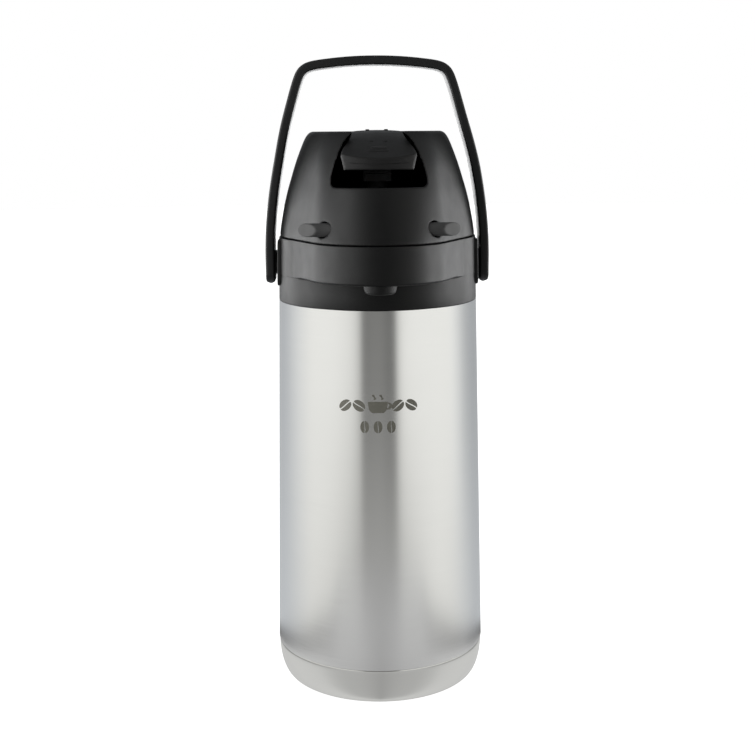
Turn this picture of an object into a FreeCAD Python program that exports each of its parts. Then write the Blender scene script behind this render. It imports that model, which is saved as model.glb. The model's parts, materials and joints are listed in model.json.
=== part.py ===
import FreeCAD, Part
import math
import os

# Thermal coffee airpot: a vacuum flask with a pump lid, a swivel base and a carrying bail.
# Millimetres, +Z up, origin at the centre of the foot ring's resting plane. The nozzle and
# the press lever face the front, -Y; the pivots of the bail lie along X, with +X as "right".
# Every piece is closed and is written to parts/<name>.step.

Vector = FreeCAD.Vector
ORIGIN = Vector(0, 0, 0)
X_AXIS = Vector(1, 0, 0)
Y_AXIS = Vector(0, 1, 0)
Z_AXIS = Vector(0, 0, 1)
RIGHT, LEFT = 1, -1

os.makedirs("parts", exist_ok=True)

# ---------------------------------------------------------------- driving dimensions
# In all names Z0 is a lower level and Z1 an upper one.
RUN = 0.05                          # running clearance
BODY_R = 75.0                       # outer radius of the steel jacket
SHEET = 0.8                         # sheet thickness of jacket and base band
BAND_R = BODY_R - 0.3
BAND_Z0, BAND_Z1 = 0.6, 23.6
SHELL_Z0 = BAND_Z1 + 1.0            # lower edge of the jacket
COLLAR_Z0, COLLAR_Z1 = 269.0, 316.0
COLLAR_WALL = 2.7
BEAK_Z0 = 289.0                     # underside of the collar's beak
BEAK_PLAN = (74.6, 105.0, 52.0)     # half width, front reach, nose radius
HEAD_Z0 = COLLAR_Z1 + 1.3           # lower edge of the pump head
HEAD_WALL = 2.6
LID_Z0, LID_Z1 = 318.0, 320.8       # plate that closes the head from below
NECK_R, NECK_Z1 = 34.0, 300.0       # neck of the flask
LINER_R, LINER_SHEET = 68.0, 0.6    # inner flask
NOZZLE_Y = -92.0
AIR_Y = 16.0                        # axis of the air passage
HINGE_Y, HINGE_Z = 81.5, 316.5      # rear hinge of the head
HINGE_PIN_R, KNUCKLE_R = 2.5, 5.5
LEVER_Y, LEVER_Z = 36.0, 383.0      # pivot of the press lever
LEVER_PIN_R = 2.0
LEVER_UNDER = 369.0                 # underside of the lever's pad over the pusher
PUSH_Y = -20.0                      # line where the lever bears on the pusher
BAIL_Z = 296.5                      # pivot of the bail
BAIL_DEPTH = 26.0                   # width of the bail strap along Y
BAIL_PIN_R = 4.0
BUTTON_Y, BUTTON_Z = -82.6, 325.2   # axis of the release buttons
BUTTON_R, BUTTON_FLANGE_R = 4.8, 6.2
SCREWS = [(59.5, 30.0), (54.5, -42.0)]   # x, y of the lid screws on the right
SCREW_R = 1.6

# Pump head levels: height, half width, front reach, nose radius in plan
HEAD_LEVELS = [
    (HEAD_Z0, 74.3, 104.2, 52.0),
    (324.0, 73.6, 102.6, 51.8),
    (331.0, 72.5, 100.7, 51.4),
    (338.0, 71.3, 98.6, 51.0),
    (345.0, 69.8, 96.3, 50.5),
    (352.0, 68.1, 93.8, 49.9),
    (359.0, 66.1, 90.9, 49.2),
    (366.0, 64.1, 87.6, 48.6),
    (373.0, 61.9, 83.7, 47.8),
    (380.0, 59.4, 78.6, 46.9),
    (386.0, 57.1, 73.4, 45.8),
    (390.0, 55.3, 69.3, 44.8),
    (393.0, 53.4, 65.6, 43.4),
    (394.8, 51.4, 62.9, 42.0),
    (395.5, 49.4, 60.8, 40.6),
]


# ---------------------------------------------------------------- basic solids
def cylinder(radius, z0, z1, x=0.0, y=0.0):
    return Part.makeCylinder(radius, z1 - z0, Vector(x, y, z0))


def ring(r_in, r_out, z0, z1, x=0.0, y=0.0):
    return cylinder(r_out, z0, z1, x, y).cut(cylinder(r_in, z0 - 1, z1 + 1, x, y))


def x_cylinder(radius, x0, x1, y, z):
    return Part.makeCylinder(radius, x1 - x0, Vector(x0, y, z), X_AXIS)


def y_cylinder(radius, y0, y1, x, z):
    return Part.makeCylinder(radius, y1 - y0, Vector(x, y0, z), Y_AXIS)


def box(x0, x1, y0, y1, z0, z1):
    return Part.makeBox(x1 - x0, y1 - y0, z1 - z0, Vector(x0, y0, z0))


def polygon_face(points):
    return Part.Face(Part.makePolygon(points + [points[0]]))


def revolve(profile):
    """Closed polygon of (radius, z) turned about the Z axis."""
    return polygon_face([Vector(r, 0, z) for r, z in profile]).revolve(ORIGIN, Z_AXIS, 360)


def coil(radius, wire_r, pitch, length, z0=0.0):
    """Round-wire spring about the Z axis."""
    helix = Part.makeHelix(pitch, length, radius)
    helix.translate(Vector(0, 0, z0))
    section = Part.Wire(Part.makeCircle(wire_r, Vector(radius, 0, z0), Y_AXIS))
    return Part.Wire(helix.Edges).makePipeShell([section], True, True)


# ---------------------------------------------------------------- edges and pairs
def spline_edge(points):
    curve = Part.BSplineCurve()
    curve.interpolate(Points=points)
    return curve.toShape()


def arc_edge(start, middle, end):
    return Part.Arc(start, middle, end).toShape()


def line_edges(points):
    return [Part.LineSegment(a, b).toShape() for a, b in zip(points, points[1:])]


def level_edges(shape, z):
    """Edges that lie wholly in the plane at height z."""
    return [e for e in shape.Edges
            if abs(e.BoundBox.ZMin - z) < 0.01 and abs(e.BoundBox.ZMax - z) < 0.01]


def mirror_x(shape):
    return shape.mirror(ORIGIN, X_AXIS)


def to_side(shape, side):
    """A shape modelled on the right, taken to the given side."""
    return shape if side == RIGHT else mirror_x(shape)


def fuse_both(body, right_part):
    return body.fuse(right_part).fuse(mirror_x(right_part))


def cut_both(body, right_part):
    return body.cut(right_part).cut(mirror_x(right_part))


def add_spokes(body, spoke, first_angle=0):
    """Fuse six evenly spaced copies of a spoke modelled along +X."""
    for k in range(6):
        rib = spoke.copy()
        rib.rotate(ORIGIN, Z_AXIS, 60 * k + first_angle)
        body = body.fuse(rib)
    return body


def write(name, *shapes, merge=True):
    """Export the shapes as one piece; merge joins faces that share a surface."""
    solids = []
    for shape in shapes:
        if merge and len(shape.Solids) == 1:
            shape = shape.removeSplitter()
        solids += shape.Solids
    out = solids[0] if len(solids) == 1 else Part.makeCompound(solids)
    out.exportStep("parts/%s.step" % name)


# ---------------------------------------------------------------- plan of beak and head
def plan_points(half, reach, nose, grow, count=48):
    """Outline from above: the hull of a circle on the axis and a smaller one in front of it."""
    big, small = half + grow, nose + grow
    spacing = reach - nose                 # between the centres of the two circles
    cos_t = (big - small) / spacing        # direction of the tangent points, from the front
    sin_t = math.sqrt(max(0.0, 1 - cos_t * cos_t))
    ray_y = -0.42 * spacing                # all rays start from (0, ray_y)
    points = []
    for i in range(count):
        angle = 2 * math.pi * i / count
        dx, dy = math.sin(angle), -math.cos(angle)
        # bisect along the ray for the edge, by signed distance to the nearest feature
        low, high = 0.0, reach + big + 50
        for _ in range(60):
            middle = (low + high) / 2
            x, y = abs(dx * middle), ray_y + dy * middle
            along = x * cos_t + y * sin_t  # position along the flank, positive backwards
            if along >= 0:
                distance = math.hypot(x, y) - big
            elif along <= -spacing * sin_t:
                distance = math.hypot(x, y + spacing) - small
            else:
                distance = x * sin_t - y * cos_t - big
            if distance < 0:
                low = middle
            else:
                high = middle
        points.append((dx * low, ray_y + dy * low))
    return points


def plan_wire(half, reach, nose, z, grow=0.0):
    curve = Part.BSplineCurve()
    points = [Vector(x, y, z) for x, y in plan_points(half, reach, nose, grow)]
    curve.interpolate(Points=points, PeriodicFlag=True)
    return Part.Wire(curve.toShape())


def plan_prism(plan, z0, z1, grow=0.0):
    return Part.Face(plan_wire(*plan, z0, grow)).extrude(Vector(0, 0, z1 - z0))


# ---------------------------------------------------------------- swivel base
ROLL_IN, ROLL_UP = 9.0, 20.0        # half axes of the band's rolled lower edge
BAND_HOLE_R = 61.6
PLATE_Z0 = BAND_Z0 + SHEET
PLATE_Z1 = 6.0
HUB_Z1 = 10.0
RIB_Z0, RIB_Z1 = 5.0, 8.0
FOOT_R = 61.0
SLIDE_IN, SLIDE_OUT, SLIDE_Z1 = 50.5, 60.0, 9.9
ADAPTER_Z0, ADAPTER_Z1 = 12.0, 29.6
FLOOR_Z1 = 15.0                     # floor of the adapter
WASHER_Z1 = FLOOR_Z1 + 1.0
THREAD_R, SHOULDER_R = 3.2, 4.0     # swivel screw


def rolled_edge(r_out, inward, rise, z_low, steps=14):
    """Quarter ellipse from its lowest point outwards and up to the straight wall."""
    points = []
    for i in range(steps + 1):
        t = math.pi / 2 * i / steps
        points.append(Vector(r_out - inward + inward * math.sin(t), 0,
                             z_low + rise - rise * math.cos(t)))
    return points


def base_band():
    r_in = BAND_R - SHEET
    outer = rolled_edge(BAND_R, ROLL_IN, ROLL_UP, BAND_Z0)
    inner = rolled_edge(r_in, ROLL_IN - SHEET, ROLL_UP - SHEET, PLATE_Z0)
    upper = [outer[-1], Vector(BAND_R, 0, BAND_Z1), Vector(r_in, 0, BAND_Z1), inner[-1]]
    lower = [inner[0], Vector(BAND_HOLE_R, 0, PLATE_Z0), Vector(BAND_HOLE_R, 0, BAND_Z0),
             outer[0]]
    edges = [spline_edge(outer)] + line_edges(upper) + [spline_edge(inner)] + line_edges(lower)
    return Part.Face(Part.Wire(Part.__sortEdges__(edges))).revolve(ORIGIN, Z_AXIS, 360)


def foot_ring():
    """Ring under the turntable plate, inside the band's turned-in edge."""
    foot = ring(50, FOOT_R, 0.0, PLATE_Z0)
    return foot.makeFillet(0.6, level_edges(foot, 0.0))


def turntable_plate():
    """Disc with a central hub, six radial ribs and a raised ring."""
    plate = cylinder(65.3, PLATE_Z0, PLATE_Z1).fuse(cylinder(13.5, PLATE_Z0, HUB_Z1))
    plate = add_spokes(plate, box(12, 47, -1.2, 1.2, RIB_Z0, RIB_Z1))
    plate = plate.fuse(ring(49.5, FOOT_R, RIB_Z0, RIB_Z1))
    return plate.cut(cylinder(THREAD_R, -1, 20))


def swivel_screw():
    """Shoulder screw on which the flask turns; its thread sits in the plate's hub."""
    screw = cylinder(THREAD_R, 3.0, HUB_Z1 + 0.05)
    screw = screw.fuse(cylinder(SHOULDER_R, HUB_Z1, WASHER_Z1))
    screw = screw.fuse(cylinder(7.5, WASHER_Z1, 19.5))
    return screw.cut(cylinder(2.2, 17.5, 21))


def bottom_adapter():
    """Cup that closes the jacket's lower end and rides on the slide ring."""
    adapter = cylinder(72.6, ADAPTER_Z0, ADAPTER_Z1).cut(cylinder(69.6, FLOOR_Z1, 30))
    adapter = adapter.fuse(ring(SLIDE_IN, SLIDE_OUT, SLIDE_Z1 + RUN, 12.2))
    adapter = adapter.cut(cylinder(SHOULDER_R + RUN, 0, 40))
    adapter = adapter.cut(ring(17, 40, 13.8, 15.5))             # recess in the floor
    adapter = adapter.fuse(ring(72.0, 74.15, 25.0, ADAPTER_Z1))  # rim inside the jacket
    return add_spokes(adapter, box(41, 70.5, -1.2, 1.2, 14.5, 22.0), first_angle=15)


write("base_band", base_band())
write("foot_ring", foot_ring())
write("turntable_plate", turntable_plate())
write("slide_ring", ring(SLIDE_IN, SLIDE_OUT, RIB_Z1, SLIDE_Z1))
write("swivel_washer", ring(4.2, 9.0, FLOOR_Z1, WASHER_Z1))
write("swivel_screw", swivel_screw())
write("bottom_adapter", bottom_adapter())

# ---------------------------------------------------------------- vacuum flask
SHELL_IN = BODY_R - SHEET
LINER_IN = LINER_R - LINER_SHEET
LINER_LIP_Z1 = NECK_Z1 + 0.8        # the liner's lip lies on top of the neck
BOTTOM_Z0 = 31.4                    # underside of the raised centre of the jacket's bottom

# Closed profiles of sheet: radius, z
SHELL_PROFILE = [
    # outside, upwards
    (BODY_R, SHELL_Z0), (BODY_R, COLLAR_Z0 - 0.9), (BODY_R - 0.9, COLLAR_Z0),
    (71.4, COLLAR_Z0), (70.6, 271.0), (68.0, 273.6), (56.0, 279.4), (43.0, 284.6),
    (36.6, 288.0), (NECK_R, 291.0), (NECK_R, NECK_Z1),
    # inside, downwards
    (NECK_R - SHEET, NECK_Z1), (NECK_R - SHEET, 290.7), (36.1, 287.3), (42.6, 283.8),
    (55.6, 278.6), (67.5, 272.9), (69.9, 270.6), (70.6, 268.2), (73.5, 268.2),
    (SHELL_IN, 267.4), (SHELL_IN, SHELL_Z0),
]
LINER_PROFILE = [
    # outside, upwards
    (0, 38.0), (56.0, 38.0), (62.5, 39.8), (66.4, 43.8), (LINER_R, 50.0), (LINER_R, 250.0),
    (66.0, 257.5), (60.0, 264.0), (46.0, 271.0), (36.0, 278.0), (33.15, 284.0),
    (33.15, NECK_Z1), (33.95, NECK_Z1), (33.95, LINER_LIP_Z1),
    # inside, downwards
    (32.4, LINER_LIP_Z1), (32.4, 283.8), (35.3, 277.5), (45.6, 270.4), (59.6, 263.5),
    (65.4, 257.2), (LINER_IN, 249.9), (LINER_IN, 50.1), (65.9, 44.2), (62.2, 40.4),
    (55.9, 38.6), (0, 38.6),
]
BOTTOM_PROFILE = [
    (0, BOTTOM_Z0), (40.0, BOTTOM_Z0), (44.0, ADAPTER_Z1), (73.0, ADAPTER_Z1),
    (SHELL_IN, ADAPTER_Z1), (SHELL_IN, 34.5), (73.4, 34.5), (73.4, 30.4), (44.3, 30.4),
    (40.3, BOTTOM_Z0 + SHEET), (0, BOTTOM_Z0 + SHEET),
]


def vacuum_seal_cap():
    z0 = BOTTOM_Z0 - 2.0
    seal = cylinder(9.0, z0, BOTTOM_Z0)
    return seal.makeFillet(1.2, level_edges(seal, z0))


write("outer_shell", revolve(SHELL_PROFILE))
write("inner_liner", revolve(LINER_PROFILE))
write("outer_bottom", revolve(BOTTOM_PROFILE))
write("vacuum_seal_cap", vacuum_seal_cap())

# ---------------------------------------------------------------- collar with the beak
COLLAR_IN = BODY_R - COLLAR_WALL
COLLAR_TOP = 2.5                    # thickness of the collar's top and the beak's floor
WEB_Z0, WEB_Z1 = 293.0, 295.6       # inner web round the flask's neck
SOCKET_R = 9.0                      # nozzle socket
EAR_X0, EAR_X1 = 14.0, 22.0         # rear hinge ears


def ear_pad():
    """Flat pad for a bail pivot, rounded as seen from the side."""
    pad = box(60, 75.6, -19, 19, 280, 314)
    along_x = [e for e in pad.Edges
               if abs(e.BoundBox.YMax - e.BoundBox.YMin) < 0.01
               and abs(e.BoundBox.ZMax - e.BoundBox.ZMin) < 0.01]
    return pad.makeFillet(6.0, along_x)


def hinge_ear():
    ear = x_cylinder(KNUCKLE_R, EAR_X0, EAR_X1, HINGE_Y, HINGE_Z)
    ear = ear.fuse(box(EAR_X0, EAR_X1, 72.5, HINGE_Y, 306.0, 315.9))
    ear = ear.fuse(box(EAR_X0, EAR_X1, 76.2, 82.0, 306.0, HINGE_Z))
    return ear.cut(cylinder(72.6, 300, 330)).cut(x_cylinder(HINGE_PIN_R, 0, 40, HINGE_Y, HINGE_Z))


def shoulder_collar():
    collar = cylinder(BODY_R, COLLAR_Z0, COLLAR_Z1)
    collar = collar.fuse(plan_prism(BEAK_PLAN, BEAK_Z0, COLLAR_Z1))
    collar = fuse_both(collar, ear_pad())
    ceiling = COLLAR_Z1 - COLLAR_TOP
    hollow = cylinder(COLLAR_IN, COLLAR_Z0 - 1, ceiling)
    hollow = hollow.fuse(plan_prism(BEAK_PLAN, BEAK_Z0 + COLLAR_TOP, ceiling, -COLLAR_WALL))
    collar = collar.cut(hollow)
    # thick boss behind each ear pad, drilled for the pivot pin
    boss = x_cylinder(9.0, 64.0, 75.0, 0, BAIL_Z)
    pin_hole = x_cylinder(BAIL_PIN_R, 60, 80, 0, BAIL_Z)
    for side in (RIGHT, LEFT):
        collar = collar.fuse(to_side(boss, side)).cut(to_side(pin_hole, side))
    collar = collar.fuse(ring(NECK_R + 0.3, COLLAR_IN + 0.4, WEB_Z0, WEB_Z1))
    # pocket in the web for the pin's head
    collar = cut_both(collar, x_cylinder(7.0, 58.0, 64.0, 0, BAIL_Z).fuse(pin_hole))
    # mouth over the stopper, nozzle socket, latch slots
    collar = collar.cut(cylinder(52, 312, 320))
    collar = collar.cut(cylinder(SOCKET_R, 285, 293, 0, NOZZLE_Y))
    collar = cut_both(collar, box(23.2, 35.5, -79.0, -69.0, 312, 320))
    collar = fuse_both(collar, hinge_ear())
    return collar.cut(x_cylinder(HINGE_PIN_R, -40, 40, HINGE_Y, HINGE_Z))


def neck_nut():
    """Nut on the flask's neck, notched at the back and the front."""
    nut = ring(NECK_R + 0.05, 42.0, WEB_Z1, 299.4)
    return nut.cut(box(-3, 3, 38, 50, 290, 310)).cut(box(-3, 3, -50, -38, 290, 310))


def pivot_pin():
    pin = x_cylinder(BAIL_PIN_R, 63.0, 82.4, 0, BAIL_Z)
    pin = pin.fuse(x_cylinder(6.5, 61.0, 63.9, 0, BAIL_Z))
    return pin.cut(x_cylinder(1.6, 60, 70, 0, BAIL_Z))


write("shoulder_collar", shoulder_collar())
write("neck_nut", neck_nut())
write("hinge_pin", x_cylinder(HINGE_PIN_R, -22.5, 22.5, HINGE_Y, HINGE_Z))
write("pivot_pins", pivot_pin(), mirror_x(pivot_pin()))

# ---------------------------------------------------------------- stopper and outlet path
STOPPER_Z0, STOPPER_Z1 = 287.0, 305.0
FLANGE_Z0 = 302.3                   # underside of the stopper's flange
TUBE_R = 4.5
DUCT_Z = 309.3                      # axis of the level run of the duct
DUCT_R = 4.0                        # upright ends of the duct
NOZZLE_Z1 = 298.0


def neck_stopper():
    stopper = cylinder(30.4, STOPPER_Z0, 303.0).fuse(cylinder(36.0, FLANGE_Z0, STOPPER_Z1))
    stopper = stopper.cut(cylinder(26.5, 286.0, 299.0))
    # central sleeve for the siphon tube, and the air hole behind it
    stopper = stopper.fuse(cylinder(8.0, STOPPER_Z0, 303.0)).cut(cylinder(TUBE_R, 280, 310))
    stopper = stopper.cut(cylinder(3.0, 290, 310, 0, AIR_Y))
    return fuse_both(stopper, box(30.0, 33.0, -8, 8, 304.5, 312.0))   # upright grips


def siphon_tube():
    """Tube with a slot across its lower end."""
    return ring(3.2, TUBE_R, 46.0, STOPPER_Z1).cut(box(-6, 6, -1.5, 1.5, 40, 50))


def outlet_duct():
    """Up from the siphon tube, forward over the beak and down into the nozzle."""
    duct = y_cylinder(3.8, NOZZLE_Y - 5.0, 5.0, 0, DUCT_Z)
    duct = duct.fuse(cylinder(DUCT_R, STOPPER_Z1, DUCT_Z + 1.0))
    duct = duct.fuse(cylinder(DUCT_R, 296.0, DUCT_Z + 1.0, 0, NOZZLE_Y))
    bore = y_cylinder(2.6, NOZZLE_Y - 3.5, 3.5, 0, DUCT_Z)
    bore = bore.fuse(cylinder(2.8, 300.0, DUCT_Z + 0.5))
    bore = bore.fuse(cylinder(2.8, 290.0, DUCT_Z + 0.5, 0, NOZZLE_Y))
    return duct.cut(bore)


def nozzle():
    shank_r = SOCKET_R - 0.05
    body = revolve([
        (0, 282.8), (8.6, 282.8), (10.2, 283.4), (11.0, 284.6), (12.1, BEAK_Z0),
        (shank_r, BEAK_Z0), (shank_r, NOZZLE_Z1), (0, NOZZLE_Z1),
    ])
    body = body.cut(cylinder(5.0, 281, 294.5)).cut(cylinder(DUCT_R + 0.05, 294, 299))
    body.translate(Vector(0, NOZZLE_Y, 0))
    return body


write("neck_stopper", neck_stopper())
write("stopper_gasket", ring(30.45, 35.0, LINER_LIP_Z1, FLANGE_Z0))
write("siphon_tube", siphon_tube())
write("outlet_duct", outlet_duct())
write("nozzle", nozzle())
write("duct_seal", ring(DUCT_R, 6.6, NOZZLE_Z1, NOZZLE_Z1 + 1.8, 0, NOZZLE_Y))

# ---------------------------------------------------------------- pump head
POST_Z1 = 352.0                     # top of the screw posts
KNUCKLE_X = 13.8                    # half length of the hinge knuckle

# Right half of the front opening, from the lower lip upwards: x, z
OPENING = [
    (26.8, 354.4), (29.4, 354.9), (32.0, 356.8), (33.0, 360.0), (32.8, 366.2), (30.8, 373.9),
    (27.6, 382.3), (25.5, 387.9), (22.4, 391.4), (20.8, 393.2), (18.4, 395.6), (17.4, 402.0),
]
# Slot in the top round the lever, front to back: y, half width
SLOT = [
    (-75.0, 17.4), (-61.0, 18.4), (-50.0, 19.8), (-44.0, 21.2), (-40.0, 21.4), (-25.0, 20.2),
    (0.0, 19.3), (30.0, 18.1), (41.0, 16.4), (46.0, 12.0),
]
# Right half of the relief inside the front wall, from the middle outwards: x, y
RELIEF = [(0.0, -86.2), (12.0, -85.8), (20.0, -84.8), (25.0, -83.9), (26.2, -82.0),
          (26.2, -60.0)]


def head_solid(inset=0.0):
    """The head's form, moved inwards by inset; its top comes down by as much."""
    wires = []
    if inset > 0:
        # an inner form starts lower, so that it leaves the head open below
        z, half, reach, nose = HEAD_LEVELS[0]
        wires.append(plan_wire(half, reach, nose, z - 8.0, -inset))
    for z, half, reach, nose in HEAD_LEVELS:
        drop = inset if z > HEAD_Z0 else 0.0
        wires.append(plan_wire(half, reach, nose, z - drop, -inset))
    return Part.makeLoft(wires, True, True, False)


def front_opening():
    outline = OPENING + [(-x, z) for x, z in reversed(OPENING)]
    return polygon_face([Vector(x, -40, z) for x, z in outline]).extrude(Vector(0, -86, 0))


def top_slot():
    outline = [Vector(-half, y, 356) for y, half in SLOT]
    outline += [Vector(half, y, 356) for y, half in reversed(SLOT)]
    return polygon_face(outline).extrude(Vector(0, 0, 60))


def lever_relief():
    """Room for the lever's front to swing past."""
    outline = [Vector(-x, y, 336) for x, y in reversed(RELIEF[1:])]
    outline += [Vector(x, y, 336) for x, y in RELIEF]
    return polygon_face(outline).extrude(Vector(0, 0, 20))


def lever_boss():
    boss = x_cylinder(5.0, 18.4, 26.0, LEVER_Y, LEVER_Z)
    boss = boss.fuse(box(18.4, 26.0, LEVER_Y - 5, LEVER_Y + 5, LEVER_Z, 394.0))
    return boss.cut(x_cylinder(LEVER_PIN_R, 0, 40, LEVER_Y, LEVER_Z))


def screw_post(x, y, side, limit):
    """Post for a lid screw, with a rib out to the flank, kept inside the limit."""
    x0, x1 = sorted((side * x, side * (x + 22)))
    post = cylinder(4.2, LID_Z1, POST_Z1, side * x, y)
    post = post.fuse(box(x0, x1, y - 1.2, y + 1.2, LID_Z1, 350.0))
    post = post.common(limit).common(box(-90, 90, -110, 90, LID_Z1, POST_Z1))
    return post.cut(cylinder(SCREW_R, 300, 332, side * x, y))


def head_knuckle():
    """Middle knuckle of the rear hinge, trimmed clear of the collar."""
    knuckle = x_cylinder(KNUCKLE_R, -KNUCKLE_X, KNUCKLE_X, HINGE_Y, HINGE_Z)
    knuckle = knuckle.fuse(box(-KNUCKLE_X, KNUCKLE_X, 72.2, 82.0, HEAD_Z0, 321.9))
    knuckle = knuckle.cut(x_cylinder(HINGE_PIN_R + RUN, -30, 30, HINGE_Y, HINGE_Z))
    return knuckle.cut(cylinder(75.8, 300, HEAD_Z0))


def head_cover():
    head = head_solid().cut(head_solid(HEAD_WALL))
    head = head.cut(front_opening()).cut(top_slot()).cut(lever_relief())
    # holes where the release buttons come out of the flanks
    head = cut_both(head, x_cylinder(5.5, 20.0, 70.0, BUTTON_Y, BUTTON_Z))
    head = fuse_both(head, lever_boss())
    # the posts reach halfway into the wall
    mid_wall = head_solid(HEAD_WALL / 2)
    for side in (RIGHT, LEFT):
        for x, y in SCREWS:
            head = head.fuse(screw_post(x, y, side, mid_wall))
    return head.fuse(head_knuckle())


def lid_base():
    """Plate that closes the head from below and seats the bellows."""
    base = plan_prism(HEAD_LEVELS[1][1:], LID_Z0, LID_Z1, -HEAD_WALL - 0.6)
    base = base.fuse(ring(28.6, 31.0, 320.0, 325.0))
    latch_slot = box(23.0, 36.0, -79.2, -68.8, 310, 330)
    # trough under the button and its flange, with room for the travel
    trough = x_cylinder(6.6, 21.4, 30.0, BUTTON_Y, BUTTON_Z)
    trough = trough.fuse(x_cylinder(5.3, 29.0, 60.0, BUTTON_Y, BUTTON_Z))
    for side in (RIGHT, LEFT):
        for x, y in SCREWS:
            base = base.cut(cylinder(SCREW_R + 0.2, 300, 330, side * x, y))
        base = base.cut(to_side(latch_slot, side)).cut(to_side(trough, side))
    # air hole, and a smaller hole as far in front of the axis
    return base.cut(cylinder(3.0, 310, 330, 0, AIR_Y)).cut(cylinder(1.5, 310, 330, 0, -AIR_Y))


def lid_screw(x, y):
    return cylinder(SCREW_R, LID_Z0, 331.0, x, y).fuse(cylinder(3.4, LID_Z0 - 1.4, LID_Z0, x, y))


write("head_cover", head_cover(), merge=False)
write("lid_base", lid_base())
write("lid_gasket", ring(53.5, 58.5, COLLAR_Z1 + 0.15, LID_Z0))
write("lid_screws", *[lid_screw(side * x, y) for side in (RIGHT, LEFT) for x, y in SCREWS])
write("air_boot", ring(3.0, 6.0, STOPPER_Z1 + 0.1, LID_Z0, 0, AIR_Y))
write("air_valve", ring(1.2, 5.2, LID_Z1, LID_Z1 + 0.8, 0, AIR_Y))
write("lever_pin", x_cylinder(LEVER_PIN_R, -25.0, 25.0, LEVER_Y, LEVER_Z))

# ---------------------------------------------------------------- bellows and plunger
BELLOWS_Z1 = 349.0
BELLOWS_FOLDS = 5
BELLOWS_VALLEY, BELLOWS_CREST = 23.0, 28.0   # outer radii
BELLOWS_WALL = 1.4
CAP_Z1 = 351.5
PUSHER_RIB_R = 5.0                  # rounded top of the pusher


def bellows():
    """Concertina tube."""
    pitch = (BELLOWS_Z1 - LID_Z1) / BELLOWS_FOLDS
    outer = []
    for k in range(BELLOWS_FOLDS):
        z = LID_Z1 + k * pitch
        outer += [(BELLOWS_VALLEY, z), (BELLOWS_CREST, z + pitch / 2)]
    outer.append((BELLOWS_VALLEY, BELLOWS_Z1))
    inner = [(r - BELLOWS_WALL, z) for r, z in outer]
    return revolve(outer + inner[::-1])


def bellows_cap():
    """Disc on the bellows with a ring hanging below it."""
    return cylinder(24.5, BELLOWS_Z1, CAP_Z1).fuse(ring(8.0, 10.0, 344.0, BELLOWS_Z1 + 0.5))


def pusher_block():
    rib_z = LEVER_UNDER - 0.40 - PUSHER_RIB_R
    block = box(-11, 11, PUSH_Y - 11, PUSH_Y + 11, 358.2, rib_z)
    upright = [e for e in block.Edges if abs(e.BoundBox.ZMax - e.BoundBox.ZMin) > 3]
    block = block.makeFillet(2.0, upright)
    block = block.fuse(x_cylinder(PUSHER_RIB_R, -10.5, 10.5, PUSH_Y, rib_z))
    return block.fuse(cylinder(8.0, CAP_Z1, 359.5, 0, -14.0))


write("bellows", bellows())
write("return_spring", coil(radius=13.0, wire_r=0.8, pitch=5.0, length=25.0, z0=322.3))
write("bellows_cap", bellows_cap())
write("pusher_block", pusher_block())

# ---------------------------------------------------------------- press lever
LEVER_WALL = 2.4
SIDE_X = -40.0                      # plane of the side profiles, clear of the lever

# Crown seen from the side, front to back: y, z
LEVER_TOP = [
    (-86.0, 376.8), (-78.0, 380.1), (-62.0, 386.2), (-48.0, 390.9), (-40.0, 393.0),
    (-32.0, 394.7), (-20.0, 396.0), (-6.0, 396.6), (10.0, 396.0), (26.0, 393.6),
    (36.0, 390.0), (41.0, 386.0),
]
# Underside, back to front: y, z
LEVER_LOW = [(42.5, 383.0), (41.0, 378.5), (36.0, 376.5), (20.0, 373.0), (-6.0, 369.5),
             (-40.0, 368.4), (-86.0, 368.2)]
# Plan, front to back: y, half width
LEVER_PLAN = [
    (-80.2, 26.8), (-77.5, 27.1), (-72.0, 26.2), (-62.0, 24.4), (-50.0, 22.2), (-40.0, 20.6),
    (-25.0, 19.3), (0.0, 18.4), (30.0, 17.2), (41.0, 15.0),
]
LEVER_FRONT_Y, LEVER_BACK_Y = -87.4, 44.5   # extreme points of the rounded ends
# Triangle-like section cut from the right of the front skirt: x, z
SKIRT_CUT = [(27.5, 378.5), (24.9, 367.5), (40, 367.5), (40, 378.5)]


def side_points(profile):
    return [Vector(SIDE_X, y, z) for y, z in profile]


def lever_blank():
    """Side profile and plan brought together as one solid."""
    top, low = side_points(LEVER_TOP), side_points(LEVER_LOW)
    edges = [spline_edge(top)] + line_edges([top[-1]] + low + [top[0]])
    side = Part.Face(Part.Wire(edges)).extrude(Vector(80, 0, 0))
    right = [Vector(half, y, 350) for y, half in LEVER_PLAN]
    left = [Vector(-half, y, 350) for y, half in LEVER_PLAN]
    edges = [
        spline_edge(right),
        spline_edge(left),
        arc_edge(right[0], Vector(0, LEVER_FRONT_Y, 350), left[0]),
        arc_edge(right[-1], Vector(0, LEVER_BACK_Y, 350), left[-1]),
    ]
    plan = Part.Wire(Part.__sortEdges__(edges))
    return side.common(Part.Face(plan).extrude(Vector(0, 0, 60)))


def lever_cavity():
    """Space between the walls and under the crown, open below."""
    ceiling = side_points([(y, z - LEVER_WALL) for y, z in LEVER_TOP[1:-2]])
    front, back = ceiling[0], ceiling[-1]
    below = [Vector(SIDE_X, back.y, 360), Vector(SIDE_X, front.y, 360)]
    edges = [spline_edge(ceiling)] + line_edges([back] + below + [front])
    side = Part.Face(Part.Wire(edges)).extrude(Vector(80, 0, 0))
    plan = [(y, half - LEVER_WALL) for y, half in LEVER_PLAN[1:-1]]
    outline = [Vector(half, y, 340) for y, half in plan]
    outline += [Vector(-half, y, 340) for y, half in reversed(plan)]
    return side.common(polygon_face(outline).extrude(Vector(0, 0, 60)))


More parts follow.
